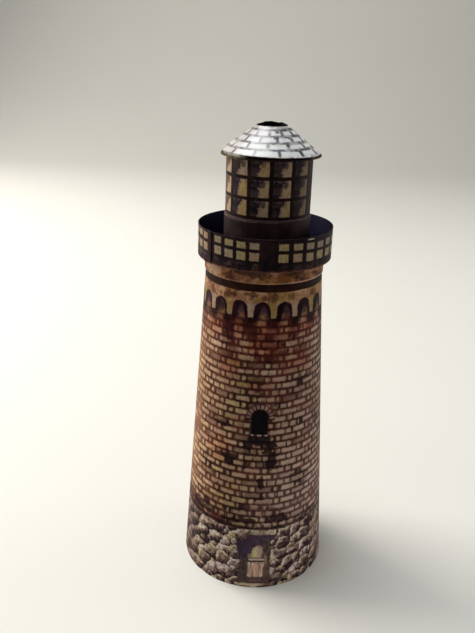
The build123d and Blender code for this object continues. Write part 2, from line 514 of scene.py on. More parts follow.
@dataclass(frozen=True)
class TowerPrint:
    """One stretch of the tower's printed sheet.

    The bricks run through all three stretches. The foot adds the rubble and the door, the shaft the window,
    and the head the arches, the buff band and the dark stripe. Stains darken the wall and take bricks out,
    washes redden it, lights make it paler, frame stones edge the door, and blotches lie on the buff.
    """

    zone: TowerZone
    name: str = "tower_print"
    foot_radius: float = 29.5
    taper: float = 0.0591
    period: float = 20.9
    brick_foot: float = 27.75
    course: float = 2.70
    brick_half: float = 0.84
    stretcher_half: float = 0.316
    header_half: float = 0.092
    brick_phase: float = -15.5
    arch_phase: float = -2.2
    arch_half: float = 2.9
    arch_spring: float = 117.7
    arch_foot: float = 114.7
    stripe_foot: float = 124.3
    window_foot: float = 68.7
    window_spring: float = 75.8
    window_half: float = 3.15
    window_radius: float = 25.1
    door_radius: float = 29.0
    mortar: Colour = (44, 21, 18)
    tan: Colour = (188, 158, 128)
    sand: Colour = (172, 148, 102)
    grey: Colour = (176, 154, 138)
    pink: Colour = (166, 128, 114)
    rust: Colour = (118, 76, 52)
    maroon: Colour = (83, 41, 34)
    night: Colour = (16, 5, 9)
    stains: tuple[Stain, ...] = spots(
        (0, 66.4, 5.3, 2), (8.5, 63.2, 2.4, 3.2, 0.95), (11.5, 58.8, 2.3, 5.4, 0.95),
        (15.5, 54.4, 1.6, 1.4, 0.9), (-9.5, 64.6, 1.6, 2.8, 0.85), (-11.6, 59.5, 1, 6, 0.85),
        (-24.5, 58.3, 4, 1.7), (-25.4, 55.6, 1.8, 2.2, 0.95), (-34.5, 71.8, 3.6, 1.6, 0.95),
        (-27, 62.3, 2, 0.8, 0.3), (17.5, 80.7, 3.2, 0.9, 0.95), (36.5, 72.6, 1.6, 1.5, 0.75),
        (60, 69.6, 2.6, 1.3, 0.4), (37, 48, 4.2, 3.4, 0.75), (43, 45.5, 3, 2, 0.55),
        (15.5, 45, 1.8, 2, 0.6), (-4, 42.2, 4.6, 1.5, 0.95), (2.4, 48.4, 1.3, 3, 0.9),
        (-12.5, 49, 3.4, 1.3, 0.55), (-24, 47, 3.6, 1.6, 0.4), (-34.5, 42, 2.2, 3, 0.6),
        (-22, 35.6, 4.4, 1.5, 0.75), (-12, 36.5, 2.4, 3.4, 0.6), (-40, 34, 4.6, 2.4, 0.6),
        (-3, 34.6, 2, 2.2, 0.5), (-22, 30.4, 5, 1.8, 0.95), (-6, 30.6, 4, 1.5, 0.85),
        (20, 31.8, 5.2, 2.2, 0.9), (14, 35, 4, 2.4, 0.5), (-52, 31.2, 7, 1.7, 0.85),
        (46, 30.2, 7, 1.6, 0.75), (-4, 90.4, 3.8, 2.2, 0.55), (6, 72.6, 2.6, 1.2, 0.4),
        (-1, 87, 0.9, 2.4, 0.4), (-14, 86, 1.4, 1.5, 0.4), (37, 89.6, 3.4, 2.2, 0.8),
        (-33.5, 107.5, 3, 9, 0.95), (-26, 110, 4, 2.6, 0.7), (-29, 99.5, 2.6, 3, 0.7),
        (-11, 109.5, 3.4, 5.2, 0.85), (-5.5, 101, 1.2, 3.6, 0.6), (5, 105.2, 4.6, 3.2, 0.9),
        (6.5, 99.5, 1.8, 3.4, 0.85), (10.5, 113.6, 3.6, 1.6, 0.85), (29, 110.8, 3.6, 4.4, 0.85),
        (20, 101.5, 4.4, 1.6, 0.5), (84, 60, 3, 4, 0.8), (118, 88, 5, 2, 0.8), (150, 52, 4, 1.6, 0.9),
        (-95, 95, 4, 2.4, 0.8), (-122, 62, 3, 5, 0.7), (-160, 78, 5, 1.6, 0.8), (128, 32, 8, 2, 0.9),
        (-110, 31.5, 9, 2, 0.9), (170, 31, 6, 1.8, 0.9), (95, 106, 3, 7, 0.8), (140, 109, 3, 5, 0.85),
        (-150, 107, 3, 7, 0.8),
    )
    washes: tuple[Stain, ...] = spots(
        (5.5, 72.4, 3.6, 2.4, 0.9), (-36, 60, 6, 5, 0.7), (-30, 96, 5, 4.5, 0.9), (-48, 109, 4, 4, 0.6),
        (-29, 111, 5, 5, 0.9), (-5, 88.5, 5, 2.6, 0.7), (2, 103, 7, 5, 0.9), (32, 97, 6, 4, 0.9),
        (20, 110, 6, 4, 0.7), (43, 111, 4, 3), (-4, 110, 5, 4, 0.9), (130, 70, 6, 6, 0.8),
        (-130, 84, 6, 7, 0.8),
    )
    lights: tuple[Stain, ...] = spots(
        (-18.5, 61.5, 4, 5.5), (-19, 105, 2.4, 3), (-43, 102, 4, 6), (3, 95.5, 5, 2), (41, 64, 4, 3),
        (40, 32, 5, 2), (66, 100, 4, 12, 0.8), (30, 80, 5, 2),
    )
    frame_stones: tuple[FrameStone, ...] = (
        FrameStone(-5, 24, 2.4, 2.3, 0), FrameStone(7.3, 20.8, 1, 1.2), FrameStone(10.4, 20, 1.9, 1.9, 0.2),
        FrameStone(7.8, 16.3, 1.2, 1.3), FrameStone(8, 10.9, 1.3, 1.8, 0.9),
        FrameStone(9.4, 4.4, 2.4, 1.9, 0.3), FrameStone(-6.6, 10.2, 0.9, 2.3, 0.8),
        FrameStone(-8.6, 7.6, 1.5, 1.7, 0.8), FrameStone(-8.3, 15.2, 1.7, 2.1, 0.7),
        FrameStone(-8.8, 20.6, 1.4, 1.6, 0.6),
    )
    blotches: tuple[Stain, ...] = spots(
        (-34, 122.6, 2.6, 1.4, 0.85), (-12.5, 123.3, 2.8, 1, 0.8), (9.5, 122.4, 1.3, 1.6, 0.75),
        (28, 122.6, 2.4, 1.2, 0.45), (53, 122, 1.6, 1.4, 0.6), (88, 122.6, 2.6, 1.2, 0.8),
        (140, 122.2, 2.4, 1.4, 0.8), (-120, 122.6, 3, 1.2, 0.8),
    )

    def build(self) -> Material:
        """Make the material: bricks first, then what the stretch adds to them.

        Returns:
            The material.
        """
        s = Shader(f"{self.name}_{self.zone.name.lower()}")
        turns = s.turns()
        colour = self.bricks(s, turns)
        if self.zone is TowerZone.FOOT:
            colour = self.door(s, turns, self.plinth_stones(s, turns, colour))
        elif self.zone is TowerZone.SHAFT:
            colour = self.window(s, turns, colour)
        else:
            colour = self.arcade(s, turns, colour)
        grain = s.fibre()
        colour.darken(grain.rise(0.35, 0.75) * 0.18, (150, 140, 140))
        return s.finish(colour, 0.5 + grain * 0.16, s.bump(grain, 0.012), specular=0.05)

    def near(self, stains: tuple[Stain, ...]) -> list[Stain]:
        """The stains that reach into this stretch."""
        low, high = self.zone.value
        return [stain for stain in stains if low - 2.5 * stain.tall < stain.height < high + 2.5 * stain.tall]

    def cover(self, s: Shader, turns: Val, stains: tuple[Stain, ...], ragged: Val) -> Val:
        """Where any of the stains lies, taking the strongest at each place.

        Args:
            s: the print's shader.
            turns: the turn round the tower, in degrees.
            stains: the stains.
            ragged: a noise that pushes the borders about.

        Returns:
            The amount, 0 to 1.
        """
        nothing = s.node("Value").outputs[0]
        nothing.default_value = 0
        total = Val(s, nothing)
        for stain in self.near(stains):
            total = total.max(stain.amount(s, turns, self.foot_radius - self.taper * stain.height, ragged))
        return total

    def bricks(self, s: Shader, turns: Val) -> Tint:
        """Flemish bond: in each course a long brick and a short one share a period; the next is half over.

        A brick is a rounded box, measured in millimetres from its middle, and noise pushes its border about.
        Some long bricks are split in two. Under a stain the weaker bricks drop out and the rest go dim.

        Args:
            s: the print's shader.
            turns: the turn round the tower, in degrees.

        Returns:
            The wall's colour.
        """
        course = (s.z - self.brick_foot) / self.course
        row, up = course.cells()
        odd = (row * 0.5).frac() * 2
        jog = (s.chance(row, 3, 9)[0] - 0.5) * 0.06
        along = (turns - self.brick_phase) / self.period + 0.5 + odd * 0.5 + jog
        cell, place = along.cells()
        period = (self.foot_radius - s.z * self.taper) * math.radians(self.period)
        middle = (place - 0.5).abs()
        dice = s.chance(cell, row, 1)
        tone = s.chance(cell, row, 7)
        low_zone = s.z.rise(42, 34)
        fine = s.swing(0.9, 0.15) * (1 + low_zone * 0.8)
        long_side = (middle - self.stretcher_half - (dice[0] - 0.5) * 0.07) * period
        split = 0.3 - (middle * period - (tone[0] - 0.5) * 1.2).abs()
        split = split - tone[2].below(0.86 - low_zone * 0.7) * 9
        long_side = long_side.max(split)
        short_side = (0.5 - middle - self.header_half - (dice[1] - 0.5) * 0.05) * period
        side = long_side.min(short_side)
        is_short = short_side.below(long_side)
        level = (up - 0.5 + (dice[1] - 0.5) * 0.05).abs() * self.course - self.brick_half
        level = level - (dice[2] - 0.5) * 0.25
        rounding = 0.5
        side_out = (side + rounding).max(0)
        level_out = (level + rounding).max(0)
        edge = (side_out * side_out + level_out * level_out).root() - rounding
        brick = (edge + fine).rise(0.36, -0.44)
        patch = s.noise(12, 3, 0.6)
        lot = s.chance(cell + is_short * 0.4, row, 5)
        colour = s.mix(lot[0].rise(0.1, 0.9), self.tan, self.sand)
        colour.lay(turns.span(-20, 45, 150, 90) * 0.8, self.grey)
        colour.lay(turns.span(-24, -50, -160, -100) * 0.6, (222, 186, 148))
        colour.lay((lot[1] + patch * 1.2).rise(1.2, 1.5) * 0.7, self.pink)
        worn = s.noise(1.4, 3, 0.65).rise(0.44, 0.62)
        colour.lay(worn * 0.34, self.maroon)
        colour.darken(lot[2] * 0.8, (190, 180, 178))
        ragged = s.swing(2.4, 0.42)
        blots = self.cover(s, turns, self.stains, ragged)
        high_zone = s.z.rise(92, 104)
        middle_front = turns.within(-33, 14, 6)
        under_arch = (((turns - self.arch_phase) / self.period + 0.5).frac() - 0.5).abs().rise(0.24, 0.12)
        under_arch = under_arch * s.z.rise(103, 109) * s.z.rise(116, 114.5)
        drips = s.noise(6, 3, 0.6, s.stretched(1, 1, 0.45))
        crown = s.z.rise(106, 112)
        soot = high_zone * (drips + crown * 0.06).rise(0.4, 0.56)
        soot = soot * (0.45 + (middle_front * 0.35).max(crown * 0.45))
        cloud = s.noise(7, 3, 0.6)
        clouds = (cloud.rise(0.55, 0.7) * 0.6).max(soot).max(low_zone * (cloud.rise(0.36, 0.6) * 0.7))
        damp = blots.max(clouds)
        # clear marks the front right; pale makes the bricks there paler lower down: painted bounce light from
        # the floor
        clear = turns.span(-34, 24, 135, 100)
        pale = clear * (s.z.rise(90, 60) * 0.11 + s.z.rise(58, 42) * 0.1)
        light = self.cover(s, turns, self.lights, ragged)
        damp = damp * (1 - under_arch * 0.6) * (1 - light * 0.5)
        gone = (damp * 1.15 + (lot[1] - 0.5) * 0.9 + is_short * 0.08 - fine * 0.3).rise(0.5, 1.1)
        weak = (lot[2] + low_zone * 0.12 + high_zone * 0.12).rise(0.78, 1) * 0.6
        joint = s.mix(patch.rise(0.38, 0.66), self.mortar, self.maroon)
        joint.lay(high_zone * (0.4 + cloud.rise(0.36, 0.56) * 0.4), (82, 34, 24))
        left = turns.span(-26, -56, -172, -130) * s.z.rise(31, 38)
        joint.lay(left * s.noise(8, 3).rise(0.36, 0.56) * 0.6, self.rust)
        far_left = turns.span(-52, -70, -160, -120) * s.z.within(40, 100, 8)
        joint.lay(far_left * 0.32, (170, 124, 94))
        # Lighter, browner joints on the right: partly the print's browner mortar, partly painted sheen
        right = turns.span(20, 60, 160, 120)
        joint.lay(right * 0.5, (88, 60, 50))
        scorch = s.mix(s.noise(3, 3, 0.6).rise(0.42, 0.58), (36, 10, 14), (72, 28, 24))
        dark = s.mix(high_zone, self.night, scorch)
        # Paler joints low on the front right: painted bounce light
        joint.lay(clear * s.z.rise(62, 40) * 0.45, (100, 74, 70))
        colour.lay(pale + light * 0.18, (228, 204, 190))
        colour.darken(crown * (1 - under_arch * 0.8) * 0.7, (204, 172, 164))
        colour.lay(under_arch * 0.3, (176, 140, 104))
        joint.lay((blots * 0.92).max(soot * 0.5), dark)
        colour.lay(damp * (0.5 + high_zone * 0.25), s.mix(high_zone, self.maroon, (134, 74, 64)))
        kept = 1 - gone * (0.92 - high_zone * (1 - blots) * 0.3)
        wall = s.mix(brick * kept * (1 - weak), joint, colour)
        return wall.darken(self.cover(s, turns, self.washes, ragged), (250, 214, 202))

    def window(self, s: Shader, turns: Val, colour: Tint) -> Tint:
        """Arched opening, its ring of small blocks, and three light dashes of a sill under it.

        Args:
            s: the print's shader.
            turns: the turn round the tower, in degrees.
            colour: what lies under it.

        Returns:
            The same colour with the window on it.
        """
        across = (turns + 0.1) * (self.window_radius * TURN / 360)
        over = (s.z - self.window_spring).max(0)
        reach = (across * across + over * over).root() - self.window_half
        above = s.z.rise(self.window_foot - 0.1, self.window_foot + 0.1)
        shadow = reach.rise(2.7, 2.1) * s.z.rise(self.window_spring - 1.6, self.window_spring - 0.8)
        colour.lay(shadow, self.mortar)
        swing = across.angle_from(s.z - self.window_spring + 0.4) * (9.5 / math.pi)
        block = (swing.frac() - 0.5).abs().rise(0.44, 0.28)
        rough = s.swing(1, 0.12)
        luck = s.chance(swing.floor(), 2, 5)
        band = (reach + rough).within(0.4, 2, 0.35)
        band = band * s.z.rise(self.window_spring - 0.8, self.window_spring - 0.1)
        light = s.mix(luck[0], (160, 130, 118), (122, 94, 84))
        colour.lay(band * block * (0.7 + luck[1] * 0.3), light)
        gap = (across + 3.9).abs().rise(2.9, 2.3) * s.z.within(68.4, 75.4, 0.6)
        colour.lay(gap * 0.8, self.mortar)
        tall_block = (across + rough).within(-6.1, -3.8, 0.3) * (s.z + rough).within(71.6, 73.2, 0.3)
        low_block = (across + rough).within(-5.2, -4, 0.3) * (s.z + rough).within(68.7, 69.7, 0.3)
        colour.lay(tall_block.max(low_block) * 0.9, (152, 134, 112))
        opening = reach.rise(0.2, -0.25) * above
        glow = s.mix(s.noise(2.5, 2).rise(0.4, 0.7), (4, 1, 4), (12, 5, 18))
        colour.lay(opening, glow)
        dashes = across.within(-3.2, -2.2, 0.2) + across.within(-0.9, 0.7, 0.2) + across.within(2, 3, 0.2)
        sill = dashes * s.z.within(self.window_foot - 0.45, self.window_foot + 0.1, 0.18)
        return colour.lay(sill.clip() * 0.85, (176, 156, 150))

    def arcade(self, s: Shader, turns: Val, colour: Tint) -> Tint:
        """Round arches between tapering pillars under a blotched buff head, then the dark stripe.

        Args:
            s: the print's shader.
            turns: the turn round the tower, in degrees.
            colour: what lies under it.

        Returns:
            The same colour with the arches and the stripe on it.
        """
        bay = (turns - self.arch_phase) / self.period + 0.5
        number = bay.floor()
        radius = self.foot_radius - self.arch_spring * self.taper
        period = radius * math.radians(self.period)
        across = (bay - number - 0.5) * period
        dice = s.chance(number, 8, 3)
        wobble = s.swing(1.8, 0.14)
        rise = s.z - self.arch_spring - (dice[0] - 0.5) * 0.5
        rise = rise - turns.span(0, 40, 90, 50) * 0.6
        over = rise.max(0)
        flare = rise.min(0) * 0.07
        reach = (across * across + over * over).root() - self.arch_half + flare + wobble
        blot = s.noise(3.6, 4, 0.62)
        olive = s.noise(6, 3, 0.6, s.moved(3, 40, 9))
        buff = s.mix(blot.rise(0.42, 0.58), (176, 136, 104), (136, 96, 70))
        buff.lay(olive.rise(0.52, 0.6) * 0.75, (78, 44, 26))
        buff.lay(s.noise(8, 2).rise(0.54, 0.64) * 0.6, (134, 100, 48))
        ragged = s.swing(2, 0.4)
        for blotch in self.blotches:
            amount = blotch.amount(s, turns, radius, ragged)
            buff.lay(amount, s.mix(olive.rise(0.42, 0.58), (66, 44, 14), (70, 34, 22)))
        pillar = (bay + 0.5).floor()
        plain = (164, 138, 122)
        gold = s.mix(s.z.rise(117.5, 115), (142, 118, 66), (140, 124, 92))
        column = s.mix((pillar * 0.5).frac().above(0.25), plain, gold)
        column.darken(s.noise(1.6, 3, 0.62).rise(0.44, 0.62) * 0.6, (206, 196, 190))
        buff.lay(s.z.rise(121.6, 118.6) * 0.85, column)
        dark = s.mix(blot.rise(0.45, 0.6), (14, 2, 5), (34, 10, 20))
        gloom_ink = s.mix(blot.rise(0.45, 0.6), (20, 3, 4), (50, 14, 14))
        foot = self.arch_foot + wobble
        vault = reach.rise(0.15, -0.25) * s.z.rise(self.arch_foot - 1, self.arch_foot + 0.6)
        under = (0.5 * period - across.abs()).rise(2.4, 1.2)
        length = 2.5 + dice[2] * 5
        hang = ((s.z - foot + length) / length).rise(0, 0.7)
        hang = hang * s.z.rise(self.arch_foot + 1, self.arch_foot)
        beside = (0.5 * period - across.abs()).rise(3.6, 1.8) * 0.75 + 0.2
        shade = s.z.rise(111.4, 113.4) * (0.7 + s.noise(2, 2).rise(0.35, 0.6) * 0.3) * beside
        gloom = (under * hang * 0.95).max(shade * s.z.rise(self.arch_foot + 1.5, self.arch_foot + 0.5))
        colour.lay(gloom, gloom_ink)
        glimpse_x = ((across - 0.6 + wobble).abs() / (0.9 + (119.5 - s.z) * 0.22)).rise(1.2, 0.4)
        soft = s.noise(2.4, 2).rise(0.36, 0.56)
        glimpse = glimpse_x * s.z.within(112, 118.8, 1.4) * (0.25 + soft * 0.75)
        high_up = s.z.rise(115.4, 117.4)
        patch = s.mix(high_up, s.mix(dice[1], (142, 106, 72), (112, 70, 62)), (90, 60, 66))
        niche = s.mix(glimpse * (0.85 - s.z.rise(115.6, 117) * 0.25), dark, patch)
        colour.lay(vault, niche)
        colour.lay(reach.rise(-0.1, 0.3) * (s.z - foot).rise(-0.15, 0.25), buff)
        wave = (s.noise(8, 1) - 0.5) * 0.5
        stripe = (s.z + wave).rise(self.stripe_foot - 0.2, self.stripe_foot + 0.2)
        return colour.lay(stripe, s.mix(blot.rise(0.45, 0.7), (28, 9, 6), (46, 21, 13)))

    def plinth_stones(self, s: Shader, turns: Val, colour: Tint) -> Tint:
        """Lay the rubble under the bricks, with a broken dark line where they meet.

        Args:
            s: the print's shader.
            turns: the turn round the tower, in degrees.
            colour: what lies under it.

        Returns:
            The same colour with the rubble on it.
        """
        wander = (s.noise(5, 2) - 0.5) * 2
        top = s.z + wander
        belt = top.within(self.brick_foot - 0.9, self.brick_foot + 1.1, 0.5)
        colour.lay(belt * (0.45 + wander.rise(-0.1, 0.1) * 0.4), self.night)
        border = top.rise(self.brick_foot - 0.5, self.brick_foot - 1.2)
        return colour.lay(border, self.rubble(s, turns))

    def rubble(self, s: Shader, turns: Val) -> Tint:
        """Rounded stones with pale upper left rims, purple-brown hearts and deep gaps at the lower right.

        Args:
            s: the print's shader.
            turns: the turn round the tower, in degrees.

        Returns:
            The stones' colour.
        """
        across = turns * (self.door_radius * TURN / 360)
        other = s.moved(40, 7, 3)
        push = s.swing(4, 0.75)
        push_up = s.swing(4, 0.65, other)
        at = s.point((across + push) * 0.19, (s.z + push_up) * 0.215, 22)
        near = s.node(
            "TexVoronoi",
            {"voronoi_dimensions": "3D", "feature": "F1"},
            {"Vector": at, "Scale": 1, "Randomness": 0.8},
        )
        walls = s.node(
            "TexVoronoi",
            {"voronoi_dimensions": "3D", "feature": "DISTANCE_TO_EDGE"},
            {"Vector": at, "Scale": 1, "Randomness": 0.8},
        )
        wall = Val(s, walls.outputs["Distance"]) + s.swing(1.4, 0.03)
        offset = s.node("SeparateXYZ", {}, {0: s.vector("SUBTRACT", at, near.outputs["Position"])})
        lift = Val(s, offset.outputs[1]) * 1.15 - Val(s, offset.outputs[0]) * 0.8 + s.swing(1.8, 0.08)
        tone = s.node("SeparateColor", {}, {0: near.outputs["Color"]})
        own, hue = Val(s, tone.outputs[0]), Val(s, tone.outputs[1])
        crescent = lift.rise(-0.1, 0.28) * wall.rise(0.29, 0.11)
        pit = lift.rise(-0.02, -0.42) * (0.55 + own * 0.45)
        gap = (wall + lift * 0.1).rise(0.12, 0)
        grain = s.swing(1.2, 0.16) + s.swing(2.6, 0.15)
        level = 0.34 + own * 0.13 + grain + crescent * 0.42 - pit * 0.32 - gap * 0.28
        # Towards both sides the stones' contrast is pulled in, the front right and the left are darkened a
        # little and a stretch just left of the front is lightened: painted shade and light
        rim = turns.abs().rise(48, 66)
        level = level - (level - 0.36) * rim * 0.45 - turns.rise(6, 24) * turns.rise(64, 54) * 0.05
        level = level + turns.within(-36, -18, 5) * 0.05 - turns.within(-130, -42, 6) * 0.07
        body = s.mix(level.rise(0, 0.3), (42, 27, 31), s.mix(hue, (98, 74, 76), (92, 74, 62)))
        body.lay(level.rise(0.3, 0.58), s.mix(hue, (146, 124, 116), (140, 122, 98)))
        crust = level.rise(0.58, 0.95)
        return body.lay(crust, s.mix(hue.rise(0.3, 0.7), (206, 192, 180), (196, 182, 150)))

    def stone(self, s: Shader, across: Val, ragged: Val, shape: FrameStone, colour: Tint) -> Tint:
        """Lay one stone of the doorway's frame, paler at its upper left.

        Args:
            s: the print's shader.
            across: millimetres from the door's middle.
            ragged: a noise that pushes the borders about.
            shape: the stone's place, size and paleness.
            colour: what lies under it.

        Returns:
            The same colour with the stone on it.
        """
        along = (across - shape.across) / shape.wide
        up = (s.z - shape.height) / shape.tall
        far = (along * along + up * up).root() + ragged * 0.25
        lit = (up - along * 0.7 + ragged * 0.7).rise(-0.7, 0.8)
        body = s.mix(lit, (84, 62, 62), s.mix(shape.pale, (168, 142, 126), (206, 198, 186)))
        body.darken(s.noise(1.2, 3, 0.65).rise(0.44, 0.58) * 0.8, (168, 158, 156))
        colour.lay(far.rise(1.35, 1.05) * 0.6, (44, 30, 34))
        return colour.lay(far.rise(1.1, 0.8), body)

    def door(self, s: Shader, turns: Val, colour: Tint) -> Tint:
        """Ragged dark doorway with a pale boarded leaf, a rounded light over it, a lintel and a step.

        Args:
            s: the print's shader.
            turns: the turn round the tower, in degrees.
            colour: what lies under it.

        Returns:
            The same colour with the door on it.
        """
        across = turns * (self.door_radius * TURN / 360)
        ragged = s.swing(2.6, 0.9)
        fine = s.swing(1, 0.35)
        left = (across + 6.3 + s.z.rise(9, 18) * 0.8 + ragged * 0.7 + fine).rise(-0.5, 0.5)
        right = (across - 6.3 - s.z.rise(20.5, 23.5) * 2.2 + fine).rise(0.4, -0.4)
        slant = (-1.5 - across).max(0) * 0.6
        head = (s.z + slant - 24.7 + ragged * 0.3 + fine).rise(0.5, -0.5)
        doorway = left * right * head * s.z.rise(1.5, 2.1)
        navy = s.z.rise(10, 16) * (across + ragged).rise(4, -1.5)
        navy = navy.max((s.z + ragged).rise(20.5, 22.5) * 0.8)
        deep = s.mix(navy * 0.9, (92, 75, 68), (66, 51, 74))
        deep.lay((ragged + fine).rise(-0.6, 1) * 0.6, (48, 33, 40))
        deep.darken(s.noise(1.4, 2).rise(0.42, 0.58) * 0.4, (176, 166, 168))
        colour.lay(doorway, deep)
        for shape in self.frame_stones:
            self.stone(s, across, ragged + fine, shape, colour)
        wear = s.noise(0.9, 3, 0.6)
        upright = s.stretched(1, 1, 0.14)
        streak = s.noise(0.7, 3, 0.6, upright)
        wood = s.mix(streak.rise(0.42, 0.58), (206, 184, 166), (146, 116, 102))
        wood.lay((across - 0.5).abs().rise(0.75, 0.25) * 0.75, (208, 152, 118))
        wood.lay((across - 1.75).abs().rise(0.5, 0.15) * 0.7, (116, 80, 64))
        wood.lay((across + 1.3).abs().rise(0.4, 0.1) * 0.5, (120, 92, 84))
        wood.lay(wear.rise(0.5, 0.72) * 0.4, (132, 106, 92))
        leaf = (across - 0.5 + fine * 0.5).within(-3.2, 3.2, 0.4) * (s.z + fine).within(5, 12, 0.4)
        colour.lay(leaf, wood)
        jamb = (across + fine * 0.2).within(3.9, 5, 0.3) * (s.z + ragged).within(2.8, 15.2, 0.8)
        colour.lay(jamb * 0.7, s.mix(s.z.rise(9, 13), (104, 76, 62), (150, 120, 108)))
        rail = (across + fine * 0.3).within(-2.4, 3.8, 0.3) * (s.z + fine * 0.35).within(12.9, 13.7, 0.25)
        colour.lay(rail, (184, 164, 148))
        shadow = across.within(-2.6, 4.2, 0.3) * s.z.within(12.2, 12.6, 0.2)
        colour.lay(shadow * 0.8, (44, 32, 32))
        swell = (s.z - 17).max(0) * 0.8
        lean = across - 1.05 - (s.z - 17) * 0.12 + fine * 0.5
        light = (lean * lean + swell * swell).root() - 2.2 + fine * 0.6
        light = light.rise(0.4, -0.35) * (s.z + fine * 0.4).rise(13.9, 14.5)
        pale = s.mix((across + fine).rise(0, 2.4), (188, 174, 134), (166, 142, 130))
        pale.lay((wear + (s.z - 17) * 0.02).rise(0.44, 0.58) * 0.6, (118, 100, 82))
        colour.lay(light, pale)
        shoulder = (across + fine * 0.5).within(-2.8, -0.6, 0.4) * (s.z + fine).within(14, 15.8, 0.4)
        colour.lay(shoulder * 0.7, (140, 130, 92))
        threshold = across.within(-3.2, 4.8, 0.5) * (s.z + fine * 0.4).within(2.2, 4.8, 0.5)
        colour.lay(threshold * 0.7, (84, 60, 60))
        sill = (across - ragged * 0.4).within(-1.6, 3, 0.6) * (s.z + fine * 0.3).within(3.1, 3.6, 0.3)
        colour.lay(sill * 0.55, (136, 110, 104))
        breaks = s.noise(2.2, 2).rise(0.34, 0.5)
        step = (across - 0.3).abs().rise(8.6, 7.6) * (s.z + fine * 0.25).within(0.6, 1.7, 0.3)
        step = step * (0.4 + breaks * 0.6) * (1 - across.rise(1.5, 4.5) * 0.45)
        colour.lay(step, s.mix(across.rise(3, 4.6), (194, 176, 148), (140, 106, 92)))
        bar = (across - 3.3).abs().rise(5.6, 5.1) * (s.z + fine * 0.6).within(24.8, 26.5, 0.4)
        bar = bar * (0.45 + (across + ragged).rise(3, 6) * 0.5)
        return colour.lay(bar, s.mix(wear.rise(0.4, 0.65), (200, 184, 160), (146, 126, 112)))


@dataclass(frozen=True)
class CornicePrint:
    """Blotched buff strip round the tower's head."""

    name: str = "cornice_print"
    radius: float = 22.3
    patches: tuple[Stain, ...] = spots(
        (-38, 129, 3.6, 1.3, 0.8), (-24, 130, 3, 1.5, 0.7), (17, 129.6, 3.4, 2.2, 0.85),
        (43, 128.8, 2.4, 1.3, 0.6), (110, 129.6, 4, 1.8, 0.8), (-120, 129, 4, 1.6, 0.8),
    )
    buff: Colour = (146, 106, 78)
    brown: Colour = (96, 60, 44)
    dark: Colour = (48, 24, 18)

    def build(self) -> Material:
        """Make the material: broad brown clouds over buff, with a few dark blots.

        Returns:
            The material.
        """
        s = Shader(self.name)
        flat = s.stretched(1, 1, 1.8)
        cloud = s.noise(7, 4, 0.62, flat)
        blot = s.noise(5, 3, 0.6, s.moved(11, 5, 2, flat))
        colour = s.mix(cloud.rise(0.4, 0.58), self.buff, self.brown)
        colour.lay(blot.rise(0.5, 0.6) * 0.85, self.dark)
        colour.lay(s.noise(9, 2, 0.5, flat).rise(0.54, 0.64) * 0.6, (140, 98, 40))
        turns, ragged = s.turns(), s.swing(2.2, 0.5)
        for patch in self.patches:
            amount = patch.amount(s, turns, self.radius, ragged)
            colour.lay(amount, s.mix(blot.rise(0.42, 0.56), (104, 60, 30), (64, 38, 32)))
        light = Stain(-58, 129.6, 5, 2.4, 0.8).amount(s, turns, self.radius, ragged)
        colour.lay(light, (164, 132, 106))
        hem = (s.z + s.swing(3, 0.06)).rise(127.85, 127.55) * turns.rise(-56, -40)
        colour.lay(hem * (0.15 + turns.rise(5, 36) * 0.6), (180, 144, 122))
        return s.card(colour, 0.56, 0.12)


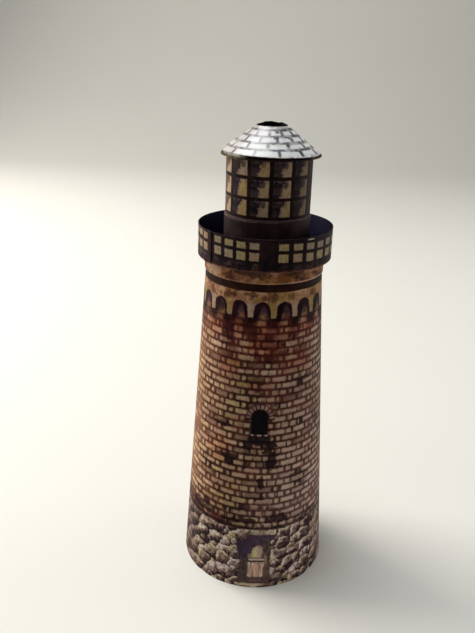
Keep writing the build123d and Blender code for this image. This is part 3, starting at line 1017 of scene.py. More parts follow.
@dataclass(frozen=True)
class GalleryPrint:
    """Two rows of pale panes between dark posts, with a fainter third row under them.

    The strip was drawn by hand: its panes are closer on the left half than on the right, the rows sink a
    little towards the right, and the pattern jumps where the strip laps.
    """

    name: str = "gallery_print"
    radius: float = 24.95
    phase: float = 0.8
    pitch: float = 11.6
    uneven: float = 0.55
    seam_turn: float = -51.5
    seam_slip: float = 4.4
    sink: float = 0.011
    pane_half: float = 1.68
    rows: tuple[tuple[float, float], ...] = ((136.15, 139.05), (140.3, 142.55))
    post: Colour = (16, 6, 10)
    dim: Colour = (34, 18, 20)
    warm: Colour = (142, 126, 88)
    cool: Colour = (134, 118, 104)

    def build(self) -> Material:
        """Make the material: cells round the strip, with one column at the front and one behind left dark.

        Returns:
            The material.
        """
        s = Shader(self.name)
        turns = s.turns()
        side = turns.above(0) * 2 - 1
        pitch = side * self.uneven + self.pitch
        slipped = turns - self.phase + turns.below(self.seam_turn) * self.seam_slip
        along = slipped / pitch + 0.5
        column = along.floor()
        across = (along - column - 0.5) * pitch * (self.radius * TURN / 360)
        height = s.z + turns.max(-75).min(75) * self.sink * turns.abs().rise(176, 100)
        dice = s.chance(column, side, 8)
        at_seam = (turns - self.seam_turn + 0.4).abs().rise(3.2, 2.2)
        shown = column.abs().above(0.5) * turns.abs().below(172) * (1 - at_seam)
        edge_noise = s.swing(0.9, 0.1)
        wide = (across + (dice[0] - 0.5) * 0.3).abs() - self.pane_half - (dice[1] - 0.5) * 0.16 + edge_noise
        open_side = wide.rise(0.22, -0.22)
        cloud = s.noise(3.2, 3, 0.6)
        colour = s.mix(cloud.rise(0.4, 0.65), self.post, self.dim)
        for number, (low, high) in enumerate(self.rows):
            tone = s.chance(column, float(number), 2 + side)
            pane = s.mix(tone[0], self.warm, self.cool)
            pane.lay(turns.span(-54, -58, -150, -110) * 0.8, (148, 122, 100))
            pane.lay(tone[1].rise(0.8, 1) * 0.3, (146, 104, 84))
            pane.lay(s.noise(1.2, 3).rise(0.46, 0.62) * 0.45, (98, 80, 64))
            level = (height + edge_noise + (tone[2] - 0.5) * 0.25).within(low, high, 0.22)
            colour.lay(open_side * level * shown, pane)
        faint = wide.rise(0.7, -0.6) * (height + edge_noise * 2).within(133.2, 135.2, 0.5) * shown
        faint = faint * s.noise(1.8, 3, 0.6).rise(0.4, 0.58) * (0.75 - side * 0.2)
        shade = s.mix(dice[2].above(0.6), (70, 52, 62), (84, 62, 50))
        colour.lay(faint * 0.75, shade)
        hem = (s.z + edge_noise).rise(133.3, 132.6) * cloud.rise(0.36, 0.56)
        colour.lay(hem * 0.5, (104, 62, 44))
        foot = (s.z + edge_noise * 0.4).rise(132.7, 132.5)
        colour.lay(foot * 0.4, (120, 84, 78))
        crack = (turns - self.seam_turn + 2.4).abs().rise(3.4, 0.8)
        colour.lay(crack * 0.5, (58, 34, 32))
        fleck = Stain(37.5, 143.35, 1.5, 0.26).amount(s, turns, self.radius, edge_noise)
        colour.lay(fleck, (150, 146, 138))
        return s.card(colour, 0.5, 0.14)


@dataclass(frozen=True)
class LanternPrint:
    """Three rows of glazing with dark bars; a ragged dark cloud fills the upper left of each pane."""

    name: str = "lantern_print"
    centre: float = 0.5
    radius: float = 15.6
    period: float = 29.2
    phase: float = 0.9
    rows: tuple[tuple[float, float], ...] = ((149.5, 155.0), (156.2, 162.1), (163.4, 168.5))
    bar_half: float = 0.72
    strokes: float = 5.0
    bar: Colour = (18, 6, 6)
    murk: Colour = (20, 10, 22)
    haze: Colour = (54, 40, 46)
    glass: Colour = (150, 128, 80)
    glass_pale: Colour = (142, 122, 104)

    def build(self) -> Material:
        """Make the material: pane places are found first, then the cloud inside each.

        The cloud fills the left of each pane and is laid in level strokes. Each reaches further right the
        higher it lies, plus a chance of its own, so its border is a steep ragged flight of steps. Most panes
        have one more dark tongue hanging from the top beside it.

        Returns:
            The material.
        """
        s = Shader(self.name, self.centre)
        turns = s.turns()
        along = (turns - self.phase) / self.period
        column, place = along.cells()
        pitch = math.radians(self.period) * self.radius
        rag = s.swing(0.8, 0.09)
        # The panes from -145 to -57.5 degrees are paler, with lighter clouds that reach further right:
        # painted light from the left lamp
        painted_light_left = turns.below(self.phase - 2 * self.period) * turns.above(-145) * 0.8
        side = (0.5 - (place - 0.5).abs()) * pitch - self.bar_half + rag
        cloud = s.noise(2.5, 3)
        smear = s.swing(0.9, 0.05)
        colour = s.mix(cloud.rise(0.45, 0.7), self.bar, (40, 20, 18))
        for number, (low, high) in enumerate(self.rows):
            up = (s.z - low) / (high - low)
            level = (s.z + rag * 0.6).within(low, high, 0.2)
            tone = s.chance(column, float(number), 6)
            stroke = ((up + smear) * self.strokes).floor()
            luck = s.chance(column, stroke, 3 + number)
            border = 0.36 + up * (0.24 + painted_light_left * 0.3) + (luck[0] - 0.5) * 0.13
            border = border + (tone[0] - 0.5) * 0.08 + smear + turns.above(30.1) * 0.07
            gloom = (border - place).rise(-0.04, 0.05)
            tongue_x = (place - 0.66 - (tone[2] - 0.5) * 0.12 + smear * 0.5) * 9
            tongue_up = (up - 0.8 + (tone[1] - 0.5) * 0.14 + smear) * 4.2
            tongue = (tongue_x * tongue_x + tongue_up * tongue_up).rise(1.8, 0.6) * tone[1].rise(0.2, 0.4)
            gloom = gloom.max(tongue * 0.8)
            pane = s.mix(tone[1], self.glass, self.glass_pale)
            rim = (place - 0.72).abs().rise(0.1, 0.2).max(up.rise(0.7, 0.95))
            pane.lay(rim * 0.6, (140, 116, 104))
            pane.lay(s.noise(1.4, 3).rise(0.46, 0.6) * 0.45, (120, 92, 62))
            pane.lay(painted_light_left, (172, 146, 120))
            wisp = s.noise(1.4, 3, 0.65).rise(0.46, 0.58)
            shade = s.mix(wisp * (0.3 + up.rise(0.5, 0.1) * 0.6), self.murk, self.haze)
            shade.lay(up.rise(0.84, 0.96) * wisp * 0.8, (88, 70, 74))
            shade.lay(painted_light_left * 0.8, (104, 76, 60))
            pane.lay(gloom * (0.9 + luck[2] * 0.1), shade)
            veil = (border + 0.1 - place).rise(0, 0.1) * (1 - gloom)
            pane.lay(veil * 0.35, self.haze)
            colour.lay(side.rise(-0.16, 0.22) * level, pane)
        # Past 60 degrees the panes are laid over in dim brown. From 26 degrees on the print is darkened:
        # painted shade on the right
        colour.lay(turns.within(60.5, 88.5, 2) * 0.85, (50, 32, 26))
        colour.darken(turns.rise(26, 40) * 0.9, (186, 180, 184))
        line = (s.z + rag * 0.5).within(147.7, 148.3, 0.25)
        colour.lay(line * 0.6, (108, 88, 96))
        return s.card(colour, 0.46, 0.14)


@dataclass(frozen=True)
class ShinglePrint:
    """Pale shingles in rings, each ring half a shingle over the one below, with grey joints and ink marks."""

    name: str = "shingle_print"
    centre: float = 0.9
    hem: float = 170.3
    top: float = 179.05
    columns: int = 12
    phase: float = 7.0
    rings: float = 4.55
    slope: float = 0.7353
    tilt: float = 0.36
    hole: float = 5.6
    pale: Colour = (240, 240, 239)
    tints: tuple[Colour, ...] = ((222, 230, 216), (232, 216, 228), (204, 210, 220))
    joint: Colour = (74, 68, 92)
    joint_soft: Colour = (118, 104, 108)
    marks: tuple[Stain, ...] = spots(
        (10.5, 177.4, 0.75, 0.42, 0.9), (6, 175.7, 0.9, 0.4, 0.9), (33, 175.6, 0.8, 0.35, 0.6),
        (24.5, 173.6, 0.5, 0.5, 0.75), (38, 171.8, 0.8, 0.4, 0.7), (52, 173.9, 0.5, 0.6, 0.75),
        (-52, 175.6, 0.6, 0.4, 0.5), (96, 174, 0.8, 0.4, 0.8), (128, 177.3, 0.7, 0.4, 0.8),
        (160, 172, 0.8, 0.4, 0.8), (-150, 175.8, 0.8, 0.4, 0.8), (-112, 173.8, 0.7, 0.4, 0.8),
    )

    def build(self) -> Material:
        """Make the material: ring and shingle numbers, then thin joints whose ink swells in places.

        Returns:
            The material.
        """
        s = Shader(self.name, self.centre)
        turns = s.turns()
        out = s.x - self.centre
        radius = (out * out + s.y * s.y).root()
        wander = s.swing(5, 0.09)
        depth = (self.top - self.hem) / self.rings
        ring = (s.z - self.hem + wander) / depth
        number, up = ring.cells()
        odd = (number * 0.5).frac() * 2
        along = (turns - self.phase) * (self.columns / 360) + odd * 0.5
        along = along + (s.chance(number, 1, 1)[0] - 0.5) * 0.05 + wander * 0.04
        column, place = along.cells()
        width = radius * (TURN / self.columns)
        swell = s.noise(2.4, 2)
        side = (0.5 - (place - 0.5).abs()) * width
        level = (0.5 - (up - 0.5).abs()) * depth * math.hypot(1, 1 / self.slope)
        dice = s.chance(column, number, 3)
        below_top = number.below(self.rings - 0.8)
        rag = s.swing(0.8, 0.12)
        # Towards the right the joints widen, darken and gain halo, and the shingles darken: painted shade
        right = turns.span(2, 42, 160, 120)
        thin = rag - right * 0.19
        upright = (side + thin).rise(0.74, 0.28) * (0.5 + swell.rise(0.42, 0.56) * 0.5) * below_top
        flat = (level + thin).rise(0.74, 0.24) * (0.45 + swell.rise(0.4, 0.56) * 0.55)
        flat = flat * s.z.rise(self.hem + 0.3, self.hem + 0.7)
        halo = (side.rise(1.5, 0.2) * below_top).max(level.rise(1.2, 0.2))
        halo = halo * s.noise(1.6, 3, 0.62).rise(0.42, 0.6)
        colour = s.mix(dice[0] * 0.5, self.pale, self.tints[0])
        colour.lay(dice[1].rise(0.4, 1) * 0.5, self.tints[1])
        colour.lay(s.noise(2.2, 3, 0.6).rise(0.5, 0.72) * 0.5, self.tints[2])
        joint = s.mix(s.noise(3, 2).rise(0.42, 0.6), self.joint, self.joint_soft)
        joint.darken(right, (150, 146, 152))
        # Just left of the front the joints, the grey near the top and the halo are faded: painted highlight
        painted_glare = turns.within(-34, -10, 10)
        # Greyer clouds near the cone's top
        grey_near_top = (s.z + rag * 2).rise(177.7, 178.7) * s.noise(1.8, 3, 0.6).rise(0.36, 0.54)
        colour.lay(grey_near_top * (0.6 - painted_glare * 0.5), (150, 132, 134))
        colour.lay(halo * (0.4 + right * 0.15 - painted_glare * 0.2), (150, 142, 148))
        colour.lay(upright.max(flat) * (0.92 - painted_glare * 0.42), joint)
        # Across the front the lip under the fold is painted dark olive, near black lower down: painted shade
        lip = (s.z + out / radius * self.tilt).rise(self.hem - 0.05, self.hem - 0.25)
        low_lip = (s.z + out / radius * self.tilt).rise(self.hem - 0.25, self.hem - 0.5)
        front = turns.span(-46, -28, 62, 44)
        colour.lay(lip * front, s.mix(low_lip, (74, 66, 36), (20, 12, 10)))
        ragged = s.swing(1, 0.3)
        for mark in self.marks:
            colour.lay(mark.amount(s, turns, self.cone_radius(mark.height), ragged), (62, 62, 88))
        fibre = s.fibre()
        # The left, and more lightly the right, are darkened: painted shade
        left = turns.span(-36, -60, -150, -120)
        colour.darken(left * 0.9, (206, 199, 197))
        colour.darken(right * 0.25, (216, 210, 212))
        return s.finish(colour, 0.34 + fibre * 0.1, s.bump(fibre, 0.006), specular=0.45)

    def cone_radius(self, height: float) -> float:
        """Radius of the cone at a height."""
        return self.hole + (self.top - height) / self.slope


@dataclass(frozen=True)
class SoffitFinish:
    """The disc under the roof: olive card, inked nearly black in front."""

    name: str = "soffit_card"
    centre: float = 0.9
    olive: Colour = (70, 60, 32)
    worn: Colour = (108, 92, 60)
    black: Colour = (22, 14, 10)

    def build(self) -> Material:
        """Make the material.

        Returns:
            The material.
        """
        s = Shader(self.name, self.centre)
        turns = s.turns()
        colour = s.mix(s.noise(3, 3, 0.6).rise(0.42, 0.62), self.olive, self.worn)
        # Near black across the front: painted shade under the roof
        colour.lay(turns.span(-46, -28, 62, 44), self.black)
        return s.card(colour, 0.7, 0.1, 0.1)


@dataclass(frozen=True)
class FloorFinish:
    """Plain pale floor that keeps the object's shadow and shows white to the camera."""

    name: str = "pale_floor"
    colour: Colour = (226, 224, 218)

    def build(self) -> Material:
        """Make the material.

        Returns:
            The material.
        """
        s = Shader(self.name)
        cloud = s.noise(90, 2)
        return s.finish(s.mix(cloud * 0.3, self.colour, (216, 214, 206)), 0.7, specular=0.2)


# --- Card shapes ---
class LapSide(Enum):
    """Which way a sheet's last stretch passes its first."""

    OUTSIDE = 1
    INSIDE = -1


def smooth_step(values: Grid, start: float, end: float) -> Grid:
    """An S-shaped climb from 0 to 1 between start and end, worked on a whole array."""
    share = np.clip((values - start) / (end - start), 0.0, 1.0)
    return share * share * (3.0 - 2.0 * share)


def ripple(turns: Grid, seed: int, waves: tuple[int, ...]) -> Grid:
    """A sum of whole-number waves round a circle, each with its own seeded phase and falling strength.

    Args:
        turns: where it is read, in degrees.
        seed: picks the phases.
        waves: how many waves each of them has round the circle.

    Returns:
        The sum, within -1 to 1.
    """
    draw = np.random.default_rng(seed)
    total = np.zeros_like(turns)
    for wave in waves:
        total += np.sin(np.radians(turns) * wave + draw.uniform(0.0, TURN)) / math.sqrt(wave)
    return total / len(waves)


def grid_faces(rows: int, columns: int, start: int = 0, flip: bool = False) -> Grid:
    """Quads of a grid stored row by row; flip turns them over.

    Args:
        rows: how many rows of points it has.
        columns: how many points a row has.
        start: the first point's number.
        flip: whether to turn the quads over.

    Returns:
        One row of four vertex numbers for each quad.
    """
    row, column = np.meshgrid(np.arange(rows - 1), np.arange(columns - 1), indexing="ij")
    first = (row * columns + column).ravel() + start
    quads = np.stack([first, first + 1, first + columns + 1, first + columns], axis=1)
    return quads[:, ::-1] if flip else quads


def strip_faces(first: Grid, second: Grid, flip: bool = False) -> Grid:
    """Quads between two equally long lines of vertex numbers; flip turns them over."""
    quads = np.stack([first[:-1], first[1:], second[1:], second[:-1]], axis=1)
    return quads[:, ::-1] if flip else quads


def make_piece(
    name: str, points: Grid, groups: list[tuple[Grid, Material]], nodes: tuple[str, ...]
) -> Object:
    """Put points and quads into a mesh object that rides on the root and stands for CAD nodes.

    Args:
        name: the piece's name.
        points: its vertices in millimetres, one row each.
        groups: quads and the material they wear.
        slot: the record's material slot.
        nodes: CAD nodes that the piece stands for.

    Returns:
        The finished object.
    """
    mesh = bpy.data.meshes.new(name)
    quads = np.concatenate([group for group, _ in groups])
    mesh.from_pydata((points * MM).tolist(), [], quads.tolist())
    for _, material in groups:
        mesh.materials.append(material)
    numbers = np.concatenate([np.full(len(group), i) for i, (group, _) in enumerate(groups)])
    mesh.polygons.foreach_set("material_index", numbers.astype(np.int32))
    mesh.polygons.foreach_set("use_smooth", np.ones(len(quads), dtype=bool))
    mesh.update()
    mesh.set_sharp_from_angle(angle=math.radians(SHARP_ANGLE))
    piece = bpy.data.objects.new(name, mesh)
    bpy.context.scene.collection.objects.link(piece)
    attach(piece, "root")
    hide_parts(*nodes)
    LOG.info("%s: %d vertices, %d faces, for %s", name, len(points), len(quads), ", ".join(nodes))
    return piece


@dataclass
class RolledCard:
    """A card sheet rolled round an upright axis and lapped over its own end.

    Args:
        name: the piece's name.
        profile: radius and height of the outer face, foot to head.
        centre: how far along X its axis lies from the tower's.
        seam_turn: where the lap's middle is, in degrees.
        lap: the lap's width in degrees.
        side: which way the last stretch passes the first.
        card: the card's thickness.
        step: how far a lapped sheet stands off the one it covers.
        wobble: how far the roll leaves a true circle, always inwards.
        trim: how far the cut edges wander up and down.
        lap_rise: how much higher the lapping end's head is.
        around: cells round the sheet.
        up: cells from foot to head.
        seed: picks the wobble.
        trim_waves: how many waves the cut edges have round the sheet.
        breaks: heights where the outer face passes from one finish to the next.
    """

    name: str
    profile: tuple[tuple[float, float], ...]
    seam_turn: float
    lap: float
    centre: float = 0.0
    side: LapSide = LapSide.OUTSIDE
    card: float = 0.3
    step: float = 0.35
    wobble: float = 0.08
    trim: float = 0.05
    lap_rise: float = 0.0
    around: int = 300
    up: int = 24
    seed: int = 1
    trim_waves: tuple[int, ...] = (5, 9, 14, 23)
    breaks: tuple[float, ...] = ()

    def lift(self, turns: Grid, height: Grid) -> Grid:
        """How far a bent sheet's points stand above the profile; a plain roll has none."""
        return np.zeros_like(turns * height)

    def surface(self) -> tuple[Grid, Grid]:
        """Outer and inner faces as grids of points.

        The sheet starts half a lap before its seam and ends half a lap past it. Radius is the profile's, less
        a wobble of slow waves, and over the last lap it moves out by one step (or in over the first lap).
        Height is the profile's with its lift, and the cut edges wander. A row of points lies on each of the
        profile's corners. The inner face is one card further in.

        Returns:
            Two arrays shaped rows, columns, 3.
        """
        radii = np.array([r for r, _ in self.profile])
        heights = np.array([z for _, z in self.profile])
        length = np.concatenate([[0.0], np.cumsum(np.hypot(np.diff(radii), np.diff(heights)))])
        share = np.union1d(np.linspace(0.0, 1.0, self.up + 1), length / length[-1])
        radius = np.interp(share * length[-1], length, radii)[:, None]
        height = np.interp(share * length[-1], length, heights)[:, None]
        start = self.seam_turn - self.lap / 2
        sweep = 360.0 + self.lap
        turns = (start + np.linspace(0.0, sweep, self.around + 1))[None, :]
        passed = turns - start
        ramp = 0.8 * self.lap
        if self.side is LapSide.OUTSIDE:
            shift = self.step * smooth_step(passed, 360.0 - ramp, 360.0)
        else:
            shift = -self.step * (1.0 - smooth_step(passed, self.lap, self.lap + ramp))
        soft = ripple(turns, self.seed, (2, 3, 5)) - 1.0
        radius = radius + shift + self.wobble * 0.5 * soft * np.ones_like(height)
        low = (1.0 - share[:, None]) ** 8
        high = share[:, None] ** 8
        foot_cut = np.abs(ripple(turns, self.seed + 7, self.trim_waves)) * self.trim
        head_cut = np.abs(ripple(turns, self.seed + 13, self.trim_waves)) * self.trim
        raised = self.lap_rise * smooth_step(passed, 360.0 - 0.05, 360.0)
        height = height + self.lift(turns, height) + low * foot_cut - high * (head_cut - raised)
        angle = np.radians(turns)

        def place(r: Grid) -> Grid:
            """Points at a radius grid."""
            return np.stack([self.centre + r * np.sin(angle), -r * np.cos(angle), height], axis=-1)

        return place(radius), place(radius - self.card)

    def build(
        self,
        outer: tuple[Material, ...],
        inner: Material,
        edge: Material,
        slot: str,
        nodes: tuple[str, ...],
    ) -> Object:
        """Close the two faces with their four cut edges and make the piece.

        Args:
            outer: what the outer face wears, foot to head.
            inner: what the inner face wears.
            edge: what the cut edges wear.
            slot: the record's material slot.
            nodes: CAD nodes that the piece stands for.

        Returns:
            The finished piece.
        """
        out, back = self.surface()
        rows, columns = out.shape[:2]
        count = rows * columns
        points = np.concatenate([out.reshape(-1, 3), back.reshape(-1, 3)])
        number = np.arange(count).reshape(rows, columns)
        edges = np.concatenate(
            [
                strip_faces(number[0] + count, number[0]),
                strip_faces(number[-1], number[-1] + count),
                strip_faces(number[:, 0], number[:, 0] + count),
                strip_faces(number[:, -1] + count, number[:, -1]),
            ]
        )
        face_heights = 0.5 * (out[:-1, :, 2].mean(axis=1) + out[1:, :, 2].mean(axis=1))
        finish_numbers = np.searchsorted(self.breaks, face_heights)
        outer_faces = grid_faces(rows, columns).reshape(rows - 1, columns - 1, 4)
        groups = [(outer_faces[finish_numbers == i].reshape(-1, 4), wear) for i, wear in enumerate(outer)]
        groups += [(grid_faces(rows, columns, count, flip=True), inner), (edges, edge)]
        return make_piece(self.name, points, groups, nodes)


# --- Sub-assemblies ---
def roll_mm(node: str) -> tuple[float, float, float, float]:
    """Foot, head, axis along X and radius of a rolled CAD node, in millimetres, from its box."""
    low, high = (np.array(corner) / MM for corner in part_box(node))
    return float(low[2]), float(high[2]), float(low[0] + high[0]) / 2, float(high[0] - low[0]) / 2


def dress(frame: dict, node: str, material: Material) -> None:
    """Give a CAD node one material on all its slots.

    Args:
        frame: what the kit loaded.
        node: the node's name.
        material: what it wears.
    """
    thing = frame["nodes"][node]
    if not thing.material_slots:
        thing.data.materials.append(None)
    for place in thing.material_slots:
        place.link = "OBJECT"
        place.material = material
    LOG.info("%s: dressed in %s", node, material.name)


class Finishes:
    """Every material, made once."""

    def __init__(self) -> None:
        """Make them all."""
        self.bare = BareCard().build()
        self.tower = tuple(TowerPrint(zone).build() for zone in TowerZone)
        self.cornice = CornicePrint().build()
        self.gallery = GalleryPrint().build()
        self.lantern = LanternPrint().build()
        self.shingles = ShinglePrint().build()
        self.dark = InkedCard("night_card", (20, 15, 44), (36, 29, 58)).build()
        self.plinth = InkedCard("plinth_card", (34, 20, 20), (62, 44, 42)).build()
        self.black = InkedCard("black_card", (10, 6, 12), (26, 20, 26), 0.75).build()
        self.soffit = SoffitFinish().build()
        self.pale_edge = CutEdge().build()
        self.dark_edge = CutEdge("dark_cut_edge", (70, 52, 46), (30, 20, 22), 0.42).build()


@dataclass
class Tower:
    """The tall tapered sheet that stands on the floor."""

    seam_turn: float = 180.0
    lap_width: float = 6.0

    def build(self, frame: dict, wear: Finishes) -> None:
        """Make the rolled sheet from the wall's box and dress the folded tabs.

        Args:
            frame: what the kit loaded.
            wear: the finishes.
        """
        low, high, _, foot_radius = roll_mm("tower_wall")
        breaks = tuple(zone.value[0] for zone in TowerZone)[1:]
        sheet = RolledCard(
            "tower_sheet",
            tuple((foot_radius - TowerPrint.taper * z, z) for z in (low, *breaks, high)),
            self.seam_turn,
            math.degrees(self.lap_width / foot_radius),
            side=LapSide.INSIDE, wobble=0.12, trim=0.0, around=360, up=60, seed=4, breaks=breaks,
        )
        sheet.build(wear.tower, wear.bare, wear.pale_edge, "brick_print", ("tower_wall", "tower_lap"))
        dress(frame, "tower_tabs", wear.bare)


@dataclass
class Cornice:
    """The buff strip glued round the tower's head."""

    seam_turn: float = 168.0
    lap_width: float = 5.0

    def build(self, wear: Finishes) -> None:
        """Make the strip with its lap outside.

        Args:
            wear: the finishes.
        """
        low, high, _, radius = roll_mm("cornice_band")
        strip = RolledCard(
            "cornice_strip",
            ((radius, low), (radius, high)),
            self.seam_turn,
            math.degrees(self.lap_width / radius),
            wobble=0.03, trim=0.12, up=8, seed=9,
        )
        strip.build((wear.cornice,), wear.bare, wear.pale_edge, "buff_print", ("cornice_band", "cornice_lap"))


@dataclass
class Gallery:
    """Deck, folded tabs and the parapet strip with its front seam."""

    seam_turn: float = -55.0
    lap_width: float = 3.4
    lap_rise: float = 0.25

    def build(self, frame: dict, wear: Finishes) -> None:
        """Make the parapet strip and dress the deck and its tabs.

        Args:
            frame: what the kit loaded.
            wear: the finishes.
        """
        low, high, _, radius = roll_mm("gallery_ring")
        strip = RolledCard(
            "gallery_strip",
            ((radius, low), (radius, high)),
            self.seam_turn,
            math.degrees(self.lap_width / radius),
            wobble=0.1, trim=0.1, lap_rise=self.lap_rise, around=360, up=12, seed=17,
        )
        nodes = ("gallery_ring", "gallery_lap")
        strip.build((wear.gallery,), wear.dark, wear.dark_edge, "gallery_print", nodes)
        dress(frame, "gallery_deck", wear.dark)
        dress(frame, "gallery_tabs", wear.dark)


@dataclass
class Lantern:
    """The glazed tube and the dark strip round its foot, both a little to the right of the tower's axis."""

    seam_turn: float = 175.0
    lap_width: float = 5.0
    plinth_seam_turn: float = 160.0
    plinth_lap: float = 0.2

    def build(self, frame: dict, wear: Finishes) -> None:
        """Make the tube and the plinth strip, and dress the folded tabs.

        Args:
            frame: what the kit loaded.
            wear: the finishes.
        """
        low, high, centre, radius = roll_mm("lantern_wall")
        tube = RolledCard(
            "lantern_sheet",
            ((radius, low), (radius, high)),
            self.seam_turn,
            math.degrees(self.lap_width / radius),
            centre=centre, side=LapSide.INSIDE, wobble=0.06, trim=0.0, around=240, up=24, seed=23,
        )
        nodes = ("lantern_wall", "lantern_lap")
        tube.build((wear.lantern,), wear.bare, wear.dark_edge, "lantern_print", nodes)
        low, high, centre, radius = roll_mm("lantern_plinth")
        strip = RolledCard(
            "plinth_strip",
            ((radius, low), (radius, high)),
            self.plinth_seam_turn,
            self.plinth_lap,
            centre=centre, step=0.0, wobble=0.0, trim=0.12, around=240, up=10, seed=31,
        )
        strip.build((wear.plinth,), wear.bare, wear.pale_edge, "dark_card", ("lantern_plinth",))
        dress(frame, "lantern_foot_tabs", wear.bare)
        dress(frame, "lantern_head_tabs", wear.bare)


@dataclass
class HemmedCone(RolledCard):
    """A cone whose folded hem isn't level: it climbs to the left, dips to the right and is slightly wavy.

    Args:
        hem: the height of the fold.
        tilt: how much the fold climbs at the left and dips at the right.
        wave: how far the fold's slow waves reach.
    """

    hem: float = 0.0
    tilt: float = 0.36
    wave: float = 0.14

    def lift(self, turns: Grid, height: Grid) -> Grid:
        """Full at the fold, none at the lip's foot and at the cone's head.

        Args:
            turns: the turns, in degrees.
            height: the profile's heights.

        Returns:
            The lift of each point.
        """
        foot = self.profile[0][1]
        head = self.profile[-1][1]
        under = (height - foot) / (self.hem - foot)
        share = np.where(height < self.hem, under, (head - height) / (head - self.hem))
        bend = -self.tilt * np.sin(np.radians(turns)) + self.wave * ripple(turns, self.seed + 3, (3, 5, 8))
        return np.clip(share, 0.0, 1.0) * bend


@dataclass
class Roof:
    """Low cone on a soffit disc, with a torn collar in its open top.

    The tear is the collar's outline: how far it stands over the cone's top at some turns.
    """

    seam_turn: float = 190.0
    lap_width: float = 4.5
    hole_radius: float = 5.6
    lip_rise: float = 1.0
    lip_inset: float = 0.7
    collar_gap: float = 0.05
    collar_card: float = 0.3
    collar_rows: int = 9
    collar_columns: int = 289
    tatter: float = 0.5
    tear: tuple[tuple[float, float], ...] = (
        (-180.0, 0.85), (-156.0, 0.70), (-136.0, 0.25), (-90.0, 0.0), (0.0, 0.25), (90.0, 0.0),
        (115.0, 0.20), (140.0, 0.70), (153.0, 0.40), (180.0, 0.85),
    )

    def build(self, frame: dict, wear: Finishes) -> None:
        """Make the cone and the torn collar, and dress the disc and tabs.

        Args:
            frame: what the kit loaded.
            wear: the finishes.
        """
        low, high, centre, radius = roll_mm("roof_cone")
        hem = low + self.lip_rise
        cone = HemmedCone(
            "roof_sheet",
            ((radius - self.lip_inset, low), (radius, hem), (self.hole_radius, high)),
            self.seam_turn,
            math.degrees(self.lap_width / radius),
            centre=centre, wobble=0.0, trim=0.05, around=260, up=20, seed=41, hem=hem,
        )
        cone.build((wear.shingles,), wear.bare, wear.dark_edge, "shingle_print", ("roof_cone", "roof_lap"))
        dress(frame, "roof_soffit", wear.soffit)
        dress(frame, "roof_tabs", wear.bare)
        self.collar(wear, high)

    def collar(self, wear: Finishes, roof_top: float) -> Object:
        """A short tube whose head is torn: high behind, low at the sides, with fine seeded tatters.

        Args:
            wear: the finishes.
            roof_top: height of the cone's open top.

        Returns:
            The collar's piece.
        """
        low, _, centre, _ = roll_mm("apex_collar")
        radius = self.hole_radius - self.collar_gap
        rows, columns = self.collar_rows, self.collar_columns
        turns = np.linspace(-180.0, 180.0, columns)[None, :]
        share = np.linspace(0.0, 1.0, rows)[:, None]
        outline = np.interp(turns, [turn for turn, _ in self.tear], [rise for _, rise in self.tear])
        tatters = np.abs(ripple(turns, 52, (13, 21, 34))) * self.tatter
        head = roof_top + np.clip(outline - tatters * outline, 0.0, None)
        height = low + share * (head - low)
        angle = np.radians(turns) * np.ones_like(share)

        def ring(r: float) -> Grid:
            """Points of one wall."""
            return np.stack([centre + r * np.sin(angle), -r * np.cos(angle), height], axis=-1)

        out, back = ring(radius)[:, :-1], ring(radius - self.collar_card)[:, :-1]
        count = rows * (columns - 1)
        number = np.arange(count).reshape(rows, columns - 1)
        number = np.concatenate([number, number[:, :1]], axis=1)
        wall = np.concatenate([strip_faces(number[i], number[i + 1]) for i in range(rows - 1)])
        inner = wall[:, ::-1] + count
        edges = np.concatenate(
            [strip_faces(number[0] + count, number[0]), strip_faces(number[-1], number[-1] + count)]
        )
        points = np.concatenate([out.reshape(-1, 3), back.reshape(-1, 3)])
        groups = [(wall, wear.black), (inner, wear.black), (edges, wear.black)]
        return make_piece("torn_collar", points, groups, ("apex_collar",))


def stand(right: Grid, upward: Grid, back: Grid, place: Grid) -> Matrix:
    """The placing of a lamp or a camera, from its three axes and where it is."""
    return Matrix([[*row] for row in zip(right, upward, back, place)] + [[0.0, 0.0, 0.0, 1.0]])


@dataclass(frozen=True)
class Lamp:
    """A soft square lamp.

    Args:
        name: the lamp's name.
        place: where it hangs, in metres.
        size: the length of its side.
        power: watts.
        tint: its colour.
        aim: the height on the tower's axis that it faces.
        spread: how wide its beam opens, in degrees.
    """

    name: str
    place: tuple[float, float, float]
    size: float
    power: float
    tint: Colour
    aim: float = 0.09
    spread: float = 180.0

    def build(self) -> None:
        """Hang it facing the tower's axis."""
        data = bpy.data.lights.new(self.name, "AREA")
        data.size = self.size
        data.energy = self.power
        data.color = self.tint
        data.spread = math.radians(self.spread)
        lamp = bpy.data.objects.new(self.name, data)
        back = np.array(self.place) - np.array([0.0, 0.0, self.aim])
        back /= np.linalg.norm(back)
        side = np.cross([0.0, 0.0, 1.0], back)
        side /= np.linalg.norm(side)
        lamp.matrix_world = stand(side, np.cross(back, side), back, self.place)
        bpy.context.scene.collection.objects.link(lamp)


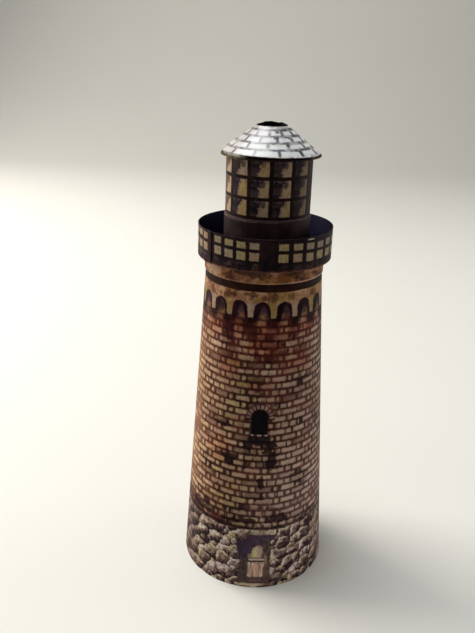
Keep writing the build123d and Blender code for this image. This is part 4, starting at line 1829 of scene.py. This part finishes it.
@dataclass
class Studio:
    """Camera, lamps and the pale floor.

    The lamps are a warm key on the left behind, a weaker one on the right behind, one overhead, and a faint
    narrow one low in front. The camera stands back by its distance and up by its height, is turned by its
    pitch, yaw and roll, and then swings round the tower with its stand.
    """

    camera_turn: float = -2.4
    distance: float = 0.25104
    height: float = 0.20432
    pitch: float = 21.33
    yaw: float = -2.151
    roll: float = 1.621
    lens: float = 39.27
    sensor: float = 36.0
    floor_half: float = 1.2
    bend_start: float = 1.0
    bend_radius: float = 0.5
    wall_top: float = 1.6
    surround: Colour = (1.0, 0.99, 0.97)
    surround_strength: float = 0.26
    lamps: tuple[Lamp, ...] = (
        Lamp("key", (-0.88, 0.43, 0.56), 0.7, 14.2, (1.0, 0.95, 0.88)),
        Lamp("side", (0.85, 0.22, 0.16), 0.5, 2.6, (1.0, 0.97, 0.94)),
        Lamp("overhead", (-0.22, 0.12, 1.15), 0.5, 6.4, (0.93, 0.98, 1.0)),
        Lamp("low", (0.14, -0.14, 0.03), 0.05, 0.003, (1.0, 0.95, 0.97), 0.02, 44.0),
    )

    def build(self) -> None:
        """Set up the floor, the light and the view."""
        self.floor()
        for lamp in self.lamps:
            lamp.build()
        world = bpy.data.worlds.new("surround")
        world.use_nodes = True
        background = world.node_tree.nodes["Background"]
        background.inputs["Color"].default_value = (*self.surround, 1.0)
        background.inputs["Strength"].default_value = self.surround_strength
        bpy.context.scene.world = world
        self.camera()
        bpy.context.scene.view_settings.view_transform = "Standard"

    def floor(self) -> None:
        """One sheet swept from a profile: level, then a quarter circle, then upright out of sight."""
        along = np.linspace(-self.floor_half, self.floor_half, 3)
        bend = np.linspace(0.0, math.pi / 2, 17)
        end = self.bend_start + self.bend_radius
        deep = np.concatenate([[-self.floor_half], self.bend_start + self.bend_radius * np.sin(bend), [end]])
        tall = np.concatenate([[0.0], self.bend_radius - self.bend_radius * np.cos(bend), [self.wall_top]])
        across, depth = np.meshgrid(along, deep, indexing="ij")
        points = np.stack([across, depth, np.broadcast_to(tall, across.shape)], axis=-1).reshape(-1, 3)
        mesh = bpy.data.meshes.new("pale_floor")
        mesh.from_pydata(points.tolist(), [], grid_faces(3, len(deep), flip=True).tolist())
        mesh.polygons.foreach_set("use_smooth", np.ones(len(mesh.polygons), dtype=bool))
        mesh.materials.append(FloorFinish().build())
        floor = bpy.data.objects.new("pale_floor", mesh)
        bpy.context.scene.collection.objects.link(floor)

    def camera(self) -> None:
        """Aim the camera along its pitch and yaw, roll it, then swing it round with its stand."""
        pitch, yaw, roll = (math.radians(angle) for angle in (self.pitch, self.yaw, self.roll))
        forward = [math.sin(yaw) * math.cos(pitch), math.cos(yaw) * math.cos(pitch), -math.sin(pitch)]
        right = np.cross(forward, [0.0, 0.0, 1.0])
        right /= np.linalg.norm(right)
        upward = np.cross(right, forward)
        side = math.cos(roll) * right + math.sin(roll) * upward
        top = -math.sin(roll) * right + math.cos(roll) * upward
        swing = math.radians(self.camera_turn)
        cosine, sine = math.cos(swing), math.sin(swing)
        around = np.array([[cosine, -sine, 0.0], [sine, cosine, 0.0], [0.0, 0.0, 1.0]])
        place = around @ np.array([0.0, -self.distance, self.height])
        data = bpy.data.cameras.new("view")
        data.lens = self.lens
        data.sensor_width = self.sensor
        data.clip_start = 0.01
        camera = bpy.data.objects.new("view", data)
        camera.matrix_world = stand(around @ side, around @ top, around @ -np.array(forward), place)
        bpy.context.scene.collection.objects.link(camera)
        bpy.context.scene.camera = camera


def main() -> None:
    """Build every sub-assembly in order, foot to roof, then the studio, and write the two boxes."""
    logging.basicConfig(level=logging.INFO, format="%(name)s %(message)s")
    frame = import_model()
    wear = Finishes()
    Tower().build(frame, wear)
    Cornice().build(wear)
    Gallery().build(frame, wear)
    Lantern().build(frame, wear)
    Roof().build(frame, wear)
    Studio().build()


if __name__ == "__main__":
    main()
